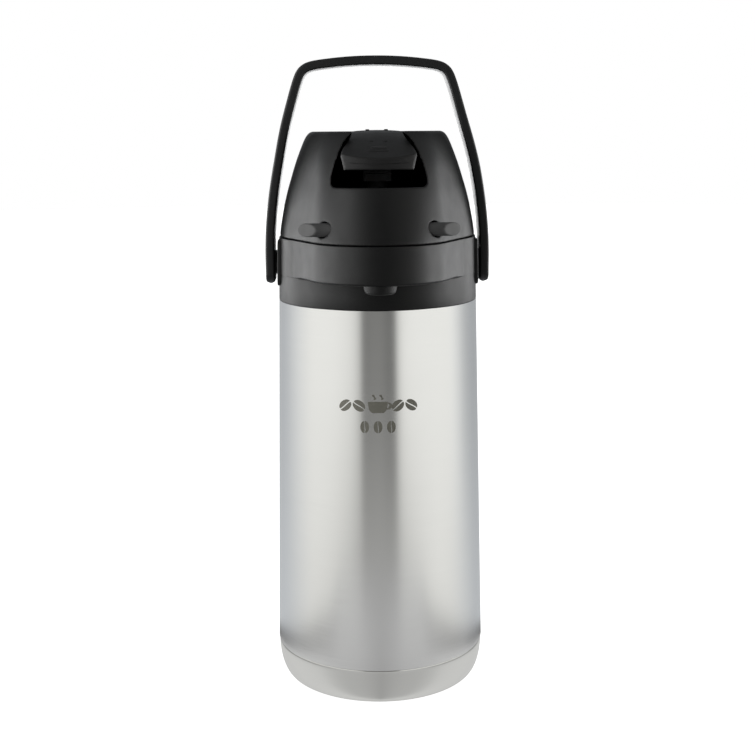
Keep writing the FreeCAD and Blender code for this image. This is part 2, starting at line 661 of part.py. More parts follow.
def press_lever():
    lever = lever_blank()
    # the skirt narrows downwards at the front
    section = polygon_face([Vector(x, -95, z) for x, z in SKIRT_CUT])
    lever = cut_both(lever, section.extrude(Vector(0, 60, 0)))
    # hollow from below, but leave a solid pad with a flat underside over the pusher
    cavity = lever_cavity()
    pad = box(-14, 14, PUSH_Y - 13, PUSH_Y + 13, LEVER_UNDER, 400)
    lever = lever.cut(cavity.cut(pad))
    lever = lever.cut(box(-20, 20, PUSH_Y - 14, PUSH_Y + 14, 340, LEVER_UNDER))
    # two lengthwise ribs from the pad to the front
    ribs = box(-14, -12, -76, PUSH_Y, 370, 400).fuse(box(12, 14, -76, PUSH_Y, 370, 400))
    lever = lever.fuse(ribs.common(cavity))
    lever = lever.cut(x_cylinder(LEVER_PIN_R + RUN, -40, 40, LEVER_Y, LEVER_Z))
    # two raised pips on the crown
    for x in (-6.6, 7.0):
        lever = lever.fuse(Part.makeSphere(1.7, Vector(x, -12.0, 395.9)))
    return lever


write("press_lever", press_lever())

# ---------------------------------------------------------------- release buttons and latches
BUTTON_SLANT = 35.5                 # degrees between the button's end face and the X axis


def release_button(side):
    peg = x_cylinder(BUTTON_R, 29.0, 62.0, BUTTON_Y, BUTTON_Z)
    # slanted end face
    cutter = box(0, 40, -40, 40, -40, 40)
    cutter.rotate(ORIGIN, Z_AXIS, -(90 - BUTTON_SLANT))
    cutter.translate(Vector(51.8, BUTTON_Y, BUTTON_Z))
    peg = peg.cut(cutter)
    # flange at the inner end, bored for the spring
    peg = peg.fuse(x_cylinder(BUTTON_FLANGE_R, 25.7, 29.2, BUTTON_Y, BUTTON_Z))
    peg = peg.cut(x_cylinder(2.6, 20.0, 33.0, BUTTON_Y, BUTTON_Z))
    return to_side(peg, side)


def latch_arm(side):
    """Upright arm with a hook turned outwards at its foot."""
    arm = box(26.7, 29.2, -77.5, -70.5, 306.0, 327.5)
    arm = arm.fuse(box(26.7, 33.4, -77.5, -70.5, 306.0, 308.6))
    arm = arm.cut(x_cylinder(BUTTON_FLANGE_R, 20, 40, BUTTON_Y, BUTTON_Z))
    return to_side(arm, side)


def button_spring():
    spring = coil(radius=1.9, wire_r=0.35, pitch=2.2, length=17.6)
    spring.rotate(ORIGIN, Y_AXIS, 90)
    spring.translate(Vector(14.4, BUTTON_Y, BUTTON_Z))
    return spring


def spring_block():
    """Block on the lid base with a pip at each end for a button spring."""
    block = box(-13.4, 13.4, BUTTON_Y - 4.5, BUTTON_Y + 4.5, LID_Z1, 330.0)
    return fuse_both(block, x_cylinder(1.4, 13.0, 18.0, BUTTON_Y, BUTTON_Z))


for side_name, side in (("right", RIGHT), ("left", LEFT)):
    write("release_button_" + side_name, release_button(side))
    write("latch_arm_" + side_name, latch_arm(side))
write("button_springs", button_spring(), mirror_x(button_spring()))
write("spring_block", spring_block())

# ---------------------------------------------------------------- carrying bail
BAIL_THICK = 7.0
# Outer edge of the right side seen from the front, from the pivot end up: x, z
BAIL_SIDE = [
    (84.4, 290.0), (84.9, 305.0), (84.5, 322.0), (82.8, 343.0), (79.6, 366.0),
    (75.4, 389.0), (71.0, 407.0), (67.4, 421.0), (64.6, 430.5), (63.0, 436.0),
]
# Rest of each edge: middle of the corner, its end, a point of the top arch, its crown: x, z
BAIL_TOP_OUT = [(58.4, 444.4), (48.5, 449.3), (25.0, 452.45), (0, 453.5)]
BAIL_TOP_IN = [(52.6, 439.2), (46.2, 442.6), (24.0, 445.4), (0, 446.3)]
BAIL_FOOT_Z, BAIL_END_Z = 284.0, 280.5      # start and lowest point of the rounded foot


def bail_side(offset):
    """Points of the side, moved inwards by offset along the local normal."""
    points = []
    for i, (x, z) in enumerate(BAIL_SIDE):
        x0, z0 = BAIL_SIDE[max(0, i - 1)]
        x1, z1 = BAIL_SIDE[min(len(BAIL_SIDE) - 1, i + 1)]
        length = math.hypot(x1 - x0, z1 - z0)
        normal_x, normal_z = (z1 - z0) / length, -(x1 - x0) / length
        points.append(Vector(x - normal_x * offset, 0, z - normal_z * offset))
    return points


def bail_edge(side, top):
    corner, corner_end, arch, crown = [Vector(x, 0, z) for x, z in top]
    return [spline_edge(side), arc_edge(side[-1], corner, corner_end),
            arc_edge(corner_end, arch, crown)]


def bail_wire():
    outer, inner = bail_side(0.0), bail_side(BAIL_THICK)
    foot_out = Vector(outer[0].x - 0.1, 0, BAIL_FOOT_Z)
    foot_in = Vector(inner[0].x + 0.1, 0, BAIL_FOOT_Z)
    foot_end = Vector((outer[0].x + inner[0].x) / 2, 0, BAIL_END_Z)
    half = bail_edge(outer, BAIL_TOP_OUT) + bail_edge(inner, BAIL_TOP_IN)
    half += line_edges([outer[0], foot_out])
    half.append(arc_edge(foot_out, foot_end, foot_in))
    half += line_edges([foot_in, inner[0]])
    return Part.Wire(Part.__sortEdges__(half + [mirror_x(edge) for edge in half]))


def soften(bail):
    """Round the long edges of the strap above the pivots."""
    edges = []
    for edge in bail.Edges:
        bounds = edge.BoundBox
        if (bounds.YMax - bounds.YMin < 0.5 and abs(abs(bounds.YMax) - BAIL_DEPTH / 2) < 0.01
                and bounds.ZMin > BAIL_Z and edge.Length > 8):
            edges.append(edge)
    # the fillet may fail on the spline sides; the edges then stay sharp
    try:
        soft = bail.makeFillet(1.5, edges)
    except Part.OCCError:
        return bail
    return soft if soft.isValid() and len(soft.Solids) == 1 else bail


def bail_handle():
    bail = Part.Face(bail_wire()).extrude(Vector(0, BAIL_DEPTH, 0))
    bail.translate(Vector(0, -BAIL_DEPTH / 2, 0))
    # the ends are round when seen from the side
    keep = box(-100, 100, -BAIL_DEPTH / 2, BAIL_DEPTH / 2, BAIL_Z - 2, 470)
    bail = bail.common(keep.fuse(x_cylinder(16.2, -100, 100, 0, BAIL_Z)))
    # inner boss and blind hole for each pivot pin
    boss = x_cylinder(9.0, 76.0, 79.0, 0, BAIL_Z)
    hole = x_cylinder(BAIL_PIN_R + RUN, 70, 82.6, 0, BAIL_Z)
    for side in (RIGHT, LEFT):
        bail = bail.fuse(to_side(boss, side)).cut(to_side(hole, side))
    return soften(bail)


write("bail_handle", bail_handle(), merge=False)
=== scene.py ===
"""Looks for the thermal coffee airpot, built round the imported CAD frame."""
import bpy, bmesh, json, math
import numpy as np
from mathutils import Vector, Matrix, Quaternion

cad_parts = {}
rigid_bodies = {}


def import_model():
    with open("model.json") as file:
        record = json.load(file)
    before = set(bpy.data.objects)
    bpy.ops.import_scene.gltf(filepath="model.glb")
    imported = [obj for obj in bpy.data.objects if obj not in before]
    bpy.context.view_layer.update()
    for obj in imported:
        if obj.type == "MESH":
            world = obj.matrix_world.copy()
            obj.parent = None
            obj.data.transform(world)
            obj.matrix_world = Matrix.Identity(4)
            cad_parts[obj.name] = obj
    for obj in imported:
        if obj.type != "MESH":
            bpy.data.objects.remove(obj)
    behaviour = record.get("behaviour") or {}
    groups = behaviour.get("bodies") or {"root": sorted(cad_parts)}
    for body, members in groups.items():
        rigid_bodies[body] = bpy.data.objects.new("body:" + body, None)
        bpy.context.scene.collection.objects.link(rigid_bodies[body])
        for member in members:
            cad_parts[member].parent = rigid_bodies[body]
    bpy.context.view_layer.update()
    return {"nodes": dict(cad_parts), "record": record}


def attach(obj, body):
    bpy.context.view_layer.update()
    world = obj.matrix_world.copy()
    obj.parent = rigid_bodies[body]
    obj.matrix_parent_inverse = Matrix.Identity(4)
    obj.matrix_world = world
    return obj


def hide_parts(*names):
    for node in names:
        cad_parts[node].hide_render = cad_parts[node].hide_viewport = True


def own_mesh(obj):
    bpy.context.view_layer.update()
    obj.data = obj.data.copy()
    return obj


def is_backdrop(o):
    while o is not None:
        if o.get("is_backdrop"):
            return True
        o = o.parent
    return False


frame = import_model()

MM = 0.001
nodes = frame["nodes"]


# ------------------------------------------------------------------ mesh helpers (lengths in millimetres)
def make_mesh(name, verts, faces, smooth_angle=35.0):
    me = bpy.data.meshes.new(name)
    me.from_pydata([tuple(float(c) * MM for c in v) for v in verts], [], [tuple(int(i) for i in f) for f in faces])
    me.validate(clean_customdata=False)
    bm = bmesh.new()
    bm.from_mesh(me)
    bmesh.ops.remove_doubles(bm, verts=bm.verts, dist=1e-7)
    bmesh.ops.recalc_face_normals(bm, faces=bm.faces)
    bm.to_mesh(me)
    bm.free()
    shade(me, smooth_angle)
    ob = bpy.data.objects.new(name, me)
    bpy.context.scene.collection.objects.link(ob)
    return ob


def shade(me, angle=35.0):
    me.polygons.foreach_set("use_smooth", [True] * len(me.polygons))
    me.set_sharp_from_angle(angle=math.radians(angle))
    me.update()


def round_poly(points, radii, n=6):
    """Closed polygon with each corner replaced by an arc of that radius (0 keeps it sharp)."""
    out = []
    m = len(points)
    for i in range(m):
        p = np.array(points[i], float)
        a = np.array(points[i - 1], float)
        b = np.array(points[(i + 1) % m], float)
        r = radii[i] if isinstance(radii, (list, tuple)) else radii
        u, v = a - p, b - p
        lu, lv = np.linalg.norm(u), np.linalg.norm(v)
        if r <= 0 or lu < 1e-9 or lv < 1e-9:
            out.append(tuple(p))
            continue
        u, v = u / lu, v / lv
        ang = math.acos(max(-1, min(1, float(u @ v))))
        if ang < 0.05 or ang > math.pi - 0.03:
            out.append(tuple(p))
            continue
        t = min(r / math.tan(ang / 2), 0.48 * lu, 0.48 * lv)
        rr = t * math.tan(ang / 2)
        bis = (u + v) / np.linalg.norm(u + v)
        c = p + bis * (rr / math.sin(ang / 2))
        s, e = p + u * t - c, p + v * t - c
        total = math.pi - ang
        for k in range(n + 1):
            f = k / n
            d = s * math.sin((1 - f) * total) / math.sin(total) + e * math.sin(f * total) / math.sin(total)
            out.append(tuple(c + d))
    return out


def lathe(name, profile, seg=192, cx=0.0, cy=0.0, angle=35.0, axis="Z", offset=0.0):
    """Closed profile of (radius, height) turned into a ring-shaped solid; points at radius 0 become poles."""
    verts, faces = [], []
    rows = []
    for r, z in profile:
        if r < 1e-6:
            rows.append([len(verts)])
            verts.append((0.0, 0.0, z))
        else:
            row = []
            for k in range(seg):
                a = 2 * math.pi * k / seg
                row.append(len(verts))
                verts.append((r * math.cos(a), r * math.sin(a), z))
            rows.append(row)
    m = len(rows)
    for i in range(m):
        a, b = rows[i], rows[(i + 1) % m]
        if len(a) == 1 and len(b) == 1:
            continue
        for k in range(seg):
            k2 = (k + 1) % seg
            if len(a) == 1:
                faces.append((a[0], b[k], b[k2]))
            elif len(b) == 1:
                faces.append((a[k], b[0], a[k2]))
            else:
                faces.append((a[k], b[k], b[k2], a[k2]))
    out = []
    for x, y, z in verts:
        if axis == "X":
            x, y, z = z, x, y
        elif axis == "Y":
            x, y, z = x, z, y
        out.append((x + (offset if axis == "X" else cx), y + cy if axis != "Y" else y, z + (0 if axis == "Z" else 0)))
    return make_mesh(name, out, faces, angle)


def grid_solid(name, rings, closed_profile=True, angle=40.0, cap=False):
    """rings: list of equal-length closed loops of points; consecutive loops are joined."""
    verts = [p for ring in rings for p in ring]
    n = len(rings[0])
    m = len(rings)
    faces = []
    last = m if closed_profile else m - 1
    for i in range(last):
        j = (i + 1) % m
        for k in range(n):
            k2 = (k + 1) % n
            faces.append((i * n + k, i * n + k2, j * n + k2, j * n + k))
    if cap and not closed_profile:
        faces.append(tuple(range(n)))
        faces.append(tuple(reversed(range((m - 1) * n, m * n))))
    return make_mesh(name, verts, faces, angle)


def prism(name, outline, lo, hi, axis="Z", angle=35.0):
    """Straight extrusion of an outline. axis Z: outline is (x, y); axis Y: (x, z); axis X: (y, z)."""
    def put(p, h):
        if axis == "Z":
            return (p[0], p[1], h)
        if axis == "Y":
            return (p[0], h, p[1])
        return (h, p[0], p[1])
    n = len(outline)
    verts = [put(p, lo) for p in outline] + [put(p, hi) for p in outline]
    faces = [tuple(range(n)), tuple(reversed(range(n, 2 * n)))]
    faces += [(k, (k + 1) % n, n + (k + 1) % n, n + k) for k in range(n)]
    return make_mesh(name, verts, faces, angle)


def evaluated(ob):
    """Replaces the object's mesh with the result of its modifiers."""
    dg = bpy.context.evaluated_depsgraph_get()
    me = bpy.data.meshes.new_from_object(ob.evaluated_get(dg))
    ob.modifiers.clear()
    old = ob.data
    ob.data = me
    bpy.data.meshes.remove(old)
    return ob


def boolean(ob, other, op="DIFFERENCE", drop=True):
    m = ob.modifiers.new("b", "BOOLEAN")
    m.operation = op
    m.solver = "EXACT"
    m.object = other
    evaluated(ob)
    if drop:
        me = other.data
        bpy.data.objects.remove(other)
        bpy.data.meshes.remove(me)
    return ob


def remesh(ob, voxel, smooth=6, factor=0.5, angle=60.0):
    m = ob.modifiers.new("r", "REMESH")
    m.mode = "VOXEL"
    m.voxel_size = voxel * MM
    m.adaptivity = 0.0
    s = ob.modifiers.new("s", "SMOOTH")
    s.iterations = smooth
    s.factor = factor
    evaluated(ob)
    shade(ob.data, angle)
    return ob


def bevel(ob, width, segments=3, angle=35.0, shade_angle=35.0):
    m = ob.modifiers.new("bv", "BEVEL")
    m.width = width * MM
    m.segments = segments
    m.limit_method = "ANGLE"
    m.angle_limit = math.radians(angle)
    m.harden_normals = False
    evaluated(ob)
    shade(ob.data, shade_angle)
    return ob


def interp(x, table, col):
    """Monotone cubic interpolation in a table sorted by its first column."""
    xs = np.array([t[0] for t in table], float)
    ys = np.array([t[col] for t in table], float)
    d = np.diff(ys) / np.diff(xs)
    m = np.zeros(len(xs))
    m[0], m[-1] = d[0], d[-1]
    for i in range(1, len(xs) - 1):
        m[i] = 0 if d[i - 1] * d[i] <= 0 else 2 * d[i - 1] * d[i] / (d[i - 1] + d[i])
    x = min(max(x, xs[0]), xs[-1])
    i = min(int(np.searchsorted(xs, x, "right")) - 1, len(xs) - 2)
    h = xs[i + 1] - xs[i]
    t = (x - xs[i]) / h
    return float((2 * t**3 - 3 * t**2 + 1) * ys[i] + (t**3 - 2 * t**2 + t) * h * m[i]
                 + (-2 * t**3 + 3 * t**2) * ys[i + 1] + (t**3 - t**2) * h * m[i + 1])


def plan(half, reach, nose, n, grow=0.0):
    """Outline seen from above: hull of a circle on the axis and a smaller nose circle in front."""
    big, small = half + grow, nose + grow
    c = reach - nose
    cos_t = (big - small) / c
    sin_t = math.sqrt(max(0.0, 1 - cos_t * cos_t))
    oy = -0.42 * c
    a = 2 * math.pi * np.arange(n) / n
    dx, dy = np.sin(a), -np.cos(a)
    lo, hi = np.zeros(n), np.full(n, reach + big + 50.0)
    for _ in range(46):
        mid = (lo + hi) / 2
        px, py = np.abs(dx * mid), oy + dy * mid
        along = px * cos_t + py * sin_t
        d = np.where(along >= 0, np.hypot(px, py) - big,
                     np.where(along <= -c * sin_t, np.hypot(px, py + c) - small, px * sin_t - py * cos_t - big))
        inside = d < 0
        lo, hi = np.where(inside, mid, lo), np.where(inside, hi, mid)
    r = lo
    # a light blur along the outline turns the joins of line and arc into even curvature
    for _ in range(3):
        r = (np.roll(r, 1) + 2 * r + np.roll(r, -1)) / 4
    return np.stack([dx * r, oy + dy * r], 1)


# ------------------------------------------------------------------ materials
class Nodes:
    """Small helper that builds a node tree."""

    def __init__(self, name):
        self.mat = bpy.data.materials.new(name)
        self.mat.use_nodes = True
        self.t = self.mat.node_tree
        self.t.nodes.clear()
        self.out = self.add("ShaderNodeOutputMaterial")
        self.bsdf = self.add("ShaderNodeBsdfPrincipled")
        self.link(self.bsdf.outputs[0], self.out.inputs["Surface"])
        self.coord = self.add("ShaderNodeTexCoord").outputs["Object"]

    def add(self, kind, **props):
        n = self.t.nodes.new(kind)
        for k, v in props.items():
            setattr(n, k, v)
        return n

    def link(self, a, b):
        self.t.links.new(a, b)

    def scaled(self, sx, sy, sz):
        m = self.add("ShaderNodeMapping")
        self.link(self.coord, m.inputs["Vector"])
        m.inputs["Scale"].default_value = (sx, sy, sz)
        return m.outputs[0]

    def noise(self, vector, scale=1.0, detail=4.0, rough=0.55):
        n = self.add("ShaderNodeTexNoise")
        self.link(vector, n.inputs["Vector"])
        n.inputs["Scale"].default_value = scale
        n.inputs["Detail"].default_value = detail
        n.inputs["Roughness"].default_value = rough
        return n.outputs["Fac"]

    def ramp(self, fac, lo, hi, a=0.3, b=0.7):
        n = self.add("ShaderNodeMapRange")
        self.link(fac, n.inputs["Value"])
        n.inputs["From Min"].default_value = a
        n.inputs["From Max"].default_value = b
        n.inputs["To Min"].default_value = lo
        n.inputs["To Max"].default_value = hi
        return n.outputs[0]

    def mix(self, fac, a, b):
        n = self.add("ShaderNodeMix", data_type="RGBA")
        if isinstance(fac, (int, float)):
            n.inputs[0].default_value = fac
        else:
            self.link(fac, n.inputs[0])
        for sock, c in ((n.inputs[6], a), (n.inputs[7], b)):
            if isinstance(c, tuple):
                sock.default_value = (*c, 1.0)
            else:
                self.link(c, sock)
        return n.outputs[2]

    def bump(self, height, strength, distance, normal=None):
        n = self.add("ShaderNodeBump")
        self.link(height, n.inputs["Height"])
        n.inputs["Strength"].default_value = strength
        n.inputs["Distance"].default_value = distance
        if normal is not None:
            self.link(normal, n.inputs["Normal"])
        return n.outputs[0]

    def math(self, op, a, b=None):
        n = self.add("ShaderNodeMath", operation=op)
        for i, v in enumerate((a, b)):
            if v is None:
                continue
            if isinstance(v, (int, float)):
                n.inputs[i].default_value = v
            else:
                self.link(v, n.inputs[i])
        return n.outputs[0]

    def put(self, name, value):
        sock = self.bsdf.inputs[name]
        if isinstance(value, (int, float)):
            sock.default_value = value
        elif isinstance(value, tuple):
            sock.default_value = (*value, 1.0)
        else:
            self.link(value, sock)


def brushed(name, colour, rough, aniso, line=2100.0, strength=0.03, dirt=0.012):
    """Steel brushed round the Z axis: fine lines, a slow drift in tone, faint handling marks."""
    n = Nodes(name)
    lines = n.noise(n.scaled(11, 11, line), 1.0, 3.0, 0.6)
    fine = n.noise(n.scaled(40, 40, line * 2.7), 1.0, 2.0, 0.5)
    drift = n.noise(n.scaled(7, 7, 11), 1.0, 3.0, 0.5)
    smear = n.noise(n.scaled(26, 26, 38), 1.0, 5.0, 0.6)
    both = n.math("ADD", n.math("MULTIPLY", lines, 0.6), n.math("MULTIPLY", fine, 0.4))
    dark = tuple(c * (1 - dirt * 2) for c in colour)
    light = tuple(min(1, c * (1 + dirt)) for c in colour)
    tone = n.mix(n.ramp(both, 0, 1, 0.35, 0.65), dark, light)
    tone = n.mix(n.ramp(drift, 0.0, 0.35, 0.35, 0.7), tone, tuple(c * 0.93 for c in colour))
    n.put("Base Color", tone)
    n.put("Metallic", 1.0)
    r = n.math("ADD", n.ramp(both, rough - 0.02, rough + 0.02, 0.3, 0.7), n.ramp(smear, 0.0, 0.02, 0.5, 0.75))
    n.put("Roughness", r)
    n.put("Anisotropic", aniso)
    n.put("Anisotropic Rotation", 0.25)
    tan = n.add("ShaderNodeTangent", direction_type="RADIAL", axis="Z")
    n.link(tan.outputs[0], n.bsdf.inputs["Tangent"])
    n.link(n.bump(both, strength, 0.00006), n.bsdf.inputs["Normal"])
    return n.mat


def plastic(name, colour, rough, grain=0.05, grain_scale=2600.0, ior=1.49, wear=0.5, edge=True, coat=0.0, spec=0.16):
    """Moulded plastic: very fine spark-eroded grain, soft flow drift, edges rubbed a little lighter."""
    n = Nodes(name)
    grain_n = n.noise(n.coord, grain_scale, 2.0, 0.6)
    drift = n.noise(n.scaled(14, 14, 22), 1.0, 3.0, 0.5)
    marks = n.noise(n.scaled(120, 90, 60), 1.0, 6.0, 0.65)
    tone = n.mix(n.ramp(drift, 0, 1, 0.3, 0.7), tuple(c * 0.92 for c in colour), tuple(c * 1.10 for c in colour))
    tone = n.mix(n.ramp(grain_n, 0.0, 0.25, 0.4, 0.7), tone, tuple(min(1, c * 1.35 + 0.002) for c in colour))
    if edge:
        geo = n.add("ShaderNodeNewGeometry")
        tone = n.mix(n.ramp(geo.outputs["Pointiness"], 0.0, 0.45 * wear, 0.53, 0.66), tone, tuple(min(1, c * 2.0 + 0.01) for c in colour))
    n.put("Base Color", tone)
    r = n.math("ADD", n.ramp(drift, rough - 0.03, rough + 0.03), n.ramp(marks, -0.02, 0.05, 0.35, 0.75))
    n.put("Roughness", r)
    n.put("IOR", ior)
    n.put("Specular IOR Level", spec)
    if coat:
        n.put("Coat Weight", coat)
        n.put("Coat Roughness", 0.25)
    n.link(n.bump(grain_n, grain, 0.00012), n.bsdf.inputs["Normal"])
    return n.mat


def rubber(name, colour, rough=0.75):
    n = Nodes(name)
    g = n.noise(n.coord, 1500.0, 3.0, 0.6)
    d = n.noise(n.scaled(30, 30, 30), 1.0, 4.0, 0.6)
    n.put("Base Color", n.mix(n.ramp(d, 0, 1), tuple(c * 0.85 for c in colour), tuple(min(1, c * 1.15) for c in colour)))
    n.put("Roughness", n.ramp(d, rough - 0.05, rough + 0.07))
    n.link(n.bump(g, 0.15, 0.0002), n.bsdf.inputs["Normal"])
    return n.mat


def metal(name, colour, rough):
    n = Nodes(name)
    g = n.noise(n.scaled(300, 300, 900), 1.0, 3.0, 0.6)
    d = n.noise(n.scaled(40, 40, 40), 1.0, 4.0, 0.6)
    n.put("Base Color", n.mix(n.ramp(d, 0, 1), tuple(c * 0.9 for c in colour), colour))
    n.put("Metallic", 1.0)
    n.put("Roughness", n.ramp(g, rough - 0.06, rough + 0.08))
    n.link(n.bump(g, 0.06, 0.0001), n.bsdf.inputs["Normal"])
    return n.mat


M = {
    "brushed_steel": brushed("mat_brushed_steel", (0.82, 0.82, 0.815), 0.225, 0.75),
    "brushed_band": brushed("mat_brushed_band", (0.80, 0.80, 0.775), 0.13, 0.4, 2600.0, 0.012),
    "inner_steel": metal("mat_inner_steel", (0.62, 0.62, 0.62), 0.34),
    "screw_steel": metal("mat_screw_steel", (0.66, 0.66, 0.67), 0.22),
    "black_plastic": plastic("mat_black_plastic", (0.0022, 0.0023, 0.0024), 0.46, spec=0.14),
    "lever_plastic": plastic("mat_lever_plastic", (0.0052, 0.0052, 0.0053), 0.52, 0.10, spec=0.12),
    # lighter grey than the lever plastic: painted highlight for the light on the button pegs' ends and sides
    "peg_plastic": plastic("mat_peg_plastic_painted_highlight", (0.020, 0.020, 0.0203), 0.50, 0.12, spec=0.22),
    "bail_plastic": plastic("mat_bail_plastic", (0.006, 0.0062, 0.0065), 0.42),
    "inner_plastic": plastic("mat_inner_plastic", (0.028, 0.028, 0.029), 0.5),
    "slide_plastic": plastic("mat_slide_plastic", (0.68, 0.68, 0.64), 0.4),
    "rubber": rubber("mat_rubber", (0.02, 0.02, 0.02)),
    "seal_rubber": rubber("mat_seal_rubber", (0.42, 0.42, 0.40), 0.6),
    "print_ink": plastic("mat_print_ink", (0.075, 0.073, 0.062), 0.45, 0.03, edge=False),
}
slot_of = {s["node"]: s["material_slot"] for s in frame["record"]["subparts"]}
for name, ob in nodes.items():
    mat = M[slot_of[name]]
    if ob.data.materials:
        for i in range(len(ob.data.materials)):
            ob.data.materials[i] = mat
    else:
        ob.data.materials.append(mat)


def finish_piece(ob, body, slot, *replaced):
    ob.data.materials.clear()
    ob.data.materials.append(M[slot])
    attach(ob, body)
    if replaced:
        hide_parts(*replaced)
    return ob


# ------------------------------------------------------------------ steel jacket and base band
jacket = lathe("steel_jacket", round_poly(
    [(75.0, 23.95), (75.0, 269.0), (71.4, 269.0), (70.6, 271.0), (68.0, 273.6), (56.0, 279.4), (43.0, 284.6), (36.6, 288.0), (34.0, 291.0),
     (34.0, 300.0), (33.2, 300.0), (33.2, 290.7), (36.1, 287.3), (42.6, 283.8), (55.6, 278.6), (67.5, 272.9), (69.9, 270.6), (70.6, 268.2),
     (73.5, 268.2), (74.2, 267.4), (74.2, 23.95)],
    [0.16, 0.7, 0.4, 0.8, 2, 4, 4, 3, 2, 0.2, 0.2, 2, 3, 4, 4, 2, 0.8, 0.3, 0.3, 0.3, 0.3], 5), 256)
finish_piece(jacket, "pot", "brushed_steel", "outer_shell")

def rolled(r, w, h, z0, top, draft, n=24):
    """Outline from the underside up: a quarter ellipse that runs into a lightly drafted wall."""
    out = []
    for k in range(n + 1):
        a = math.pi / 2 * k / n
        z = z0 + h - h * math.cos(a)
        out.append((r - w + w * math.sin(a) - draft * (top - z), z))
    return out


inside = rolled(73.95, 6.9, 18.2, 0.95, 23.7, 0.07)
band = lathe("steel_base_band", [(61.6, 0.45), (61.8, 0.12)] + rolled(74.75, 7.4, 19.0, 0.12, 23.7, 0.07)
             + [(74.72, 23.3), (74.7, 23.56), (74.6, 23.7), (74.3, 23.74), (74.0, 23.6), (73.92, 23.2)] + inside[::-1] + [(61.8, 0.95), (61.6, 0.8)], 256)
finish_piece(band, "base", "brushed_band", "base_band")

# ------------------------------------------------------------------ collar with the beak
NC = 288
BEAK = (74.6, 105.0, 52.0)
OY = -0.42 * (BEAK[1] - BEAK[2])
ang = 2 * math.pi * np.arange(NC) / NC
DIR = np.stack([np.sin(ang), -np.cos(ang)], 1)


def ray_circle(r):
    """Distance along each ray from (0, OY) to a circle of radius r on the axis."""
    b = DIR[:, 1] * OY
    return -b + np.sqrt(b * b - (OY * OY - r * r))


def ray_plan(grow=0.0):
    p = plan(*BEAK, NC, grow)
    return np.hypot(p[:, 0], p[:, 1] - OY)


def ring_at(t, z):
    z = np.full(NC, z) if np.isscalar(z) else z
    return [(DIR[k, 0] * t[k], OY + DIR[k, 1] * t[k], z[k]) for k in range(NC)]


t75, tb = ray_circle(75.0), ray_plan(0.0)
az_c = np.abs(np.degrees(np.arctan2(DIR[:, 0] * t75, -(OY + DIR[:, 1] * t75))))
proud = 0.42 * np.clip((77.0 - az_c) / 5.0, 0.0, 1.0)
tb = np.maximum(t75 + proud, tb)
step = tb - t75
f = np.minimum(1.0, step * 0.45)           # inner corner under the beak
e = np.minimum(2.0, step * 0.45)           # soft lower edge of the beak
rings = [ring_at(t75 - 0.55, 269.0), ring_at(t75 - 0.16, 269.12), ring_at(t75, 269.5), ring_at(t75, 279.0)]
for k in range(5):
    a = math.pi / 2 * k / 4
    rings.append(ring_at(t75 + f * (1 - math.cos(a)), 289.0 - f * (1 - math.sin(a))))
for k in range(7):
    a = math.pi / 2 * k / 6
    rings.append(ring_at(tb - e * (1 - math.sin(a)), 289.0 + e * (1 - math.cos(a))))
rings += [ring_at(tb, 298.0), ring_at(tb, 308.0)]
for k in range(5):
    a = math.pi / 2 * k / 4
    rings.append(ring_at(tb - 0.5 * (1 - math.cos(a)), 315.5 + 0.5 * math.sin(a)))
t52, t72 = ray_circle(52.0), ray_circle(72.3)
ti = np.maximum(t72, ray_plan(-2.7))
rings += [ring_at((tb * 0.5 + t52 * 0.5), 316.0), ring_at(t52 + 0.6, 316.0), ring_at(t52 + 0.15, 315.8), ring_at(t52, 315.3), ring_at(t52, 313.5),
          ring_at(ti, 313.5), ring_at(ti, 291.5), ring_at(t72, 291.5), ring_at(t72, 269.0)]
collar = grid_solid("shoulder_collar_shell", rings)
for s in (1, -1):
    xs = (22.7, 35.6) if s > 0 else (-35.6, -22.7)
    cut = prism("cut", round_poly([(xs[0], -79.0), (xs[1], -79.0), (xs[1], -69.0), (xs[0], -69.0)], 1.5), 311.0, 320.0)
    boolean(collar, cut)
cut = prism("cut", [(9.0 * math.cos(a), -92.0 + 9.0 * math.sin(a)) for a in np.linspace(0, 2 * math.pi, 48, endpoint=False)], 285.0, 292.6)
boolean(collar, cut)
shade(collar.data, 40)
finish_piece(collar, "pot", "black_plastic", "shoulder_collar")
web = lathe("collar_web", round_poly([(34.3, 293.0), (72.8, 293.0), (72.8, 295.6), (34.3, 295.6)], 0.4, 3), 160)
finish_piece(web, "pot", "black_plastic")
for s, side in ((1, "right"), (-1, "left")):
    pad = prism("ear_pad_" + side, round_poly([(-19, 280), (19, 280), (19, 314), (-19, 314)], 6.0, 8), s * 69.0, s * 75.6, "X")
    bevel(pad, 0.7, 3, 50)
    finish_piece(pad, "pot", "black_plastic")
    ear = round_poly([(72.6, 305.0), (79.5, 305.0), (87.0, 311.0), (87.0, 322.0), (76.0, 322.0), (76.0, 315.9), (72.6, 315.9)],
                     [0.4, 3.0, 5.4, 5.4, 5.4, 0.5, 0.4], 8)
    ear_ob = prism("hinge_ear_" + side, ear, s * 14.0, s * 22.0, "X")
    bevel(ear_ob, 0.6, 3, 50)
    finish_piece(ear_ob, "pot", "black_plastic")

noz = lathe("pour_nozzle", round_poly([(5.0, 282.8), (10.6, 282.8), (12.1, 289.0), (8.95, 289.0), (8.95, 298.0), (4.05, 298.0), (4.05, 294.0), (5.0, 294.0)],
                                      [0.6, 2.4, 0.0, 0, 0.4, 0.2, 0, 0], 8), 96, cy=-92.0)
finish_piece(noz, "pot", "black_plastic", "nozzle")

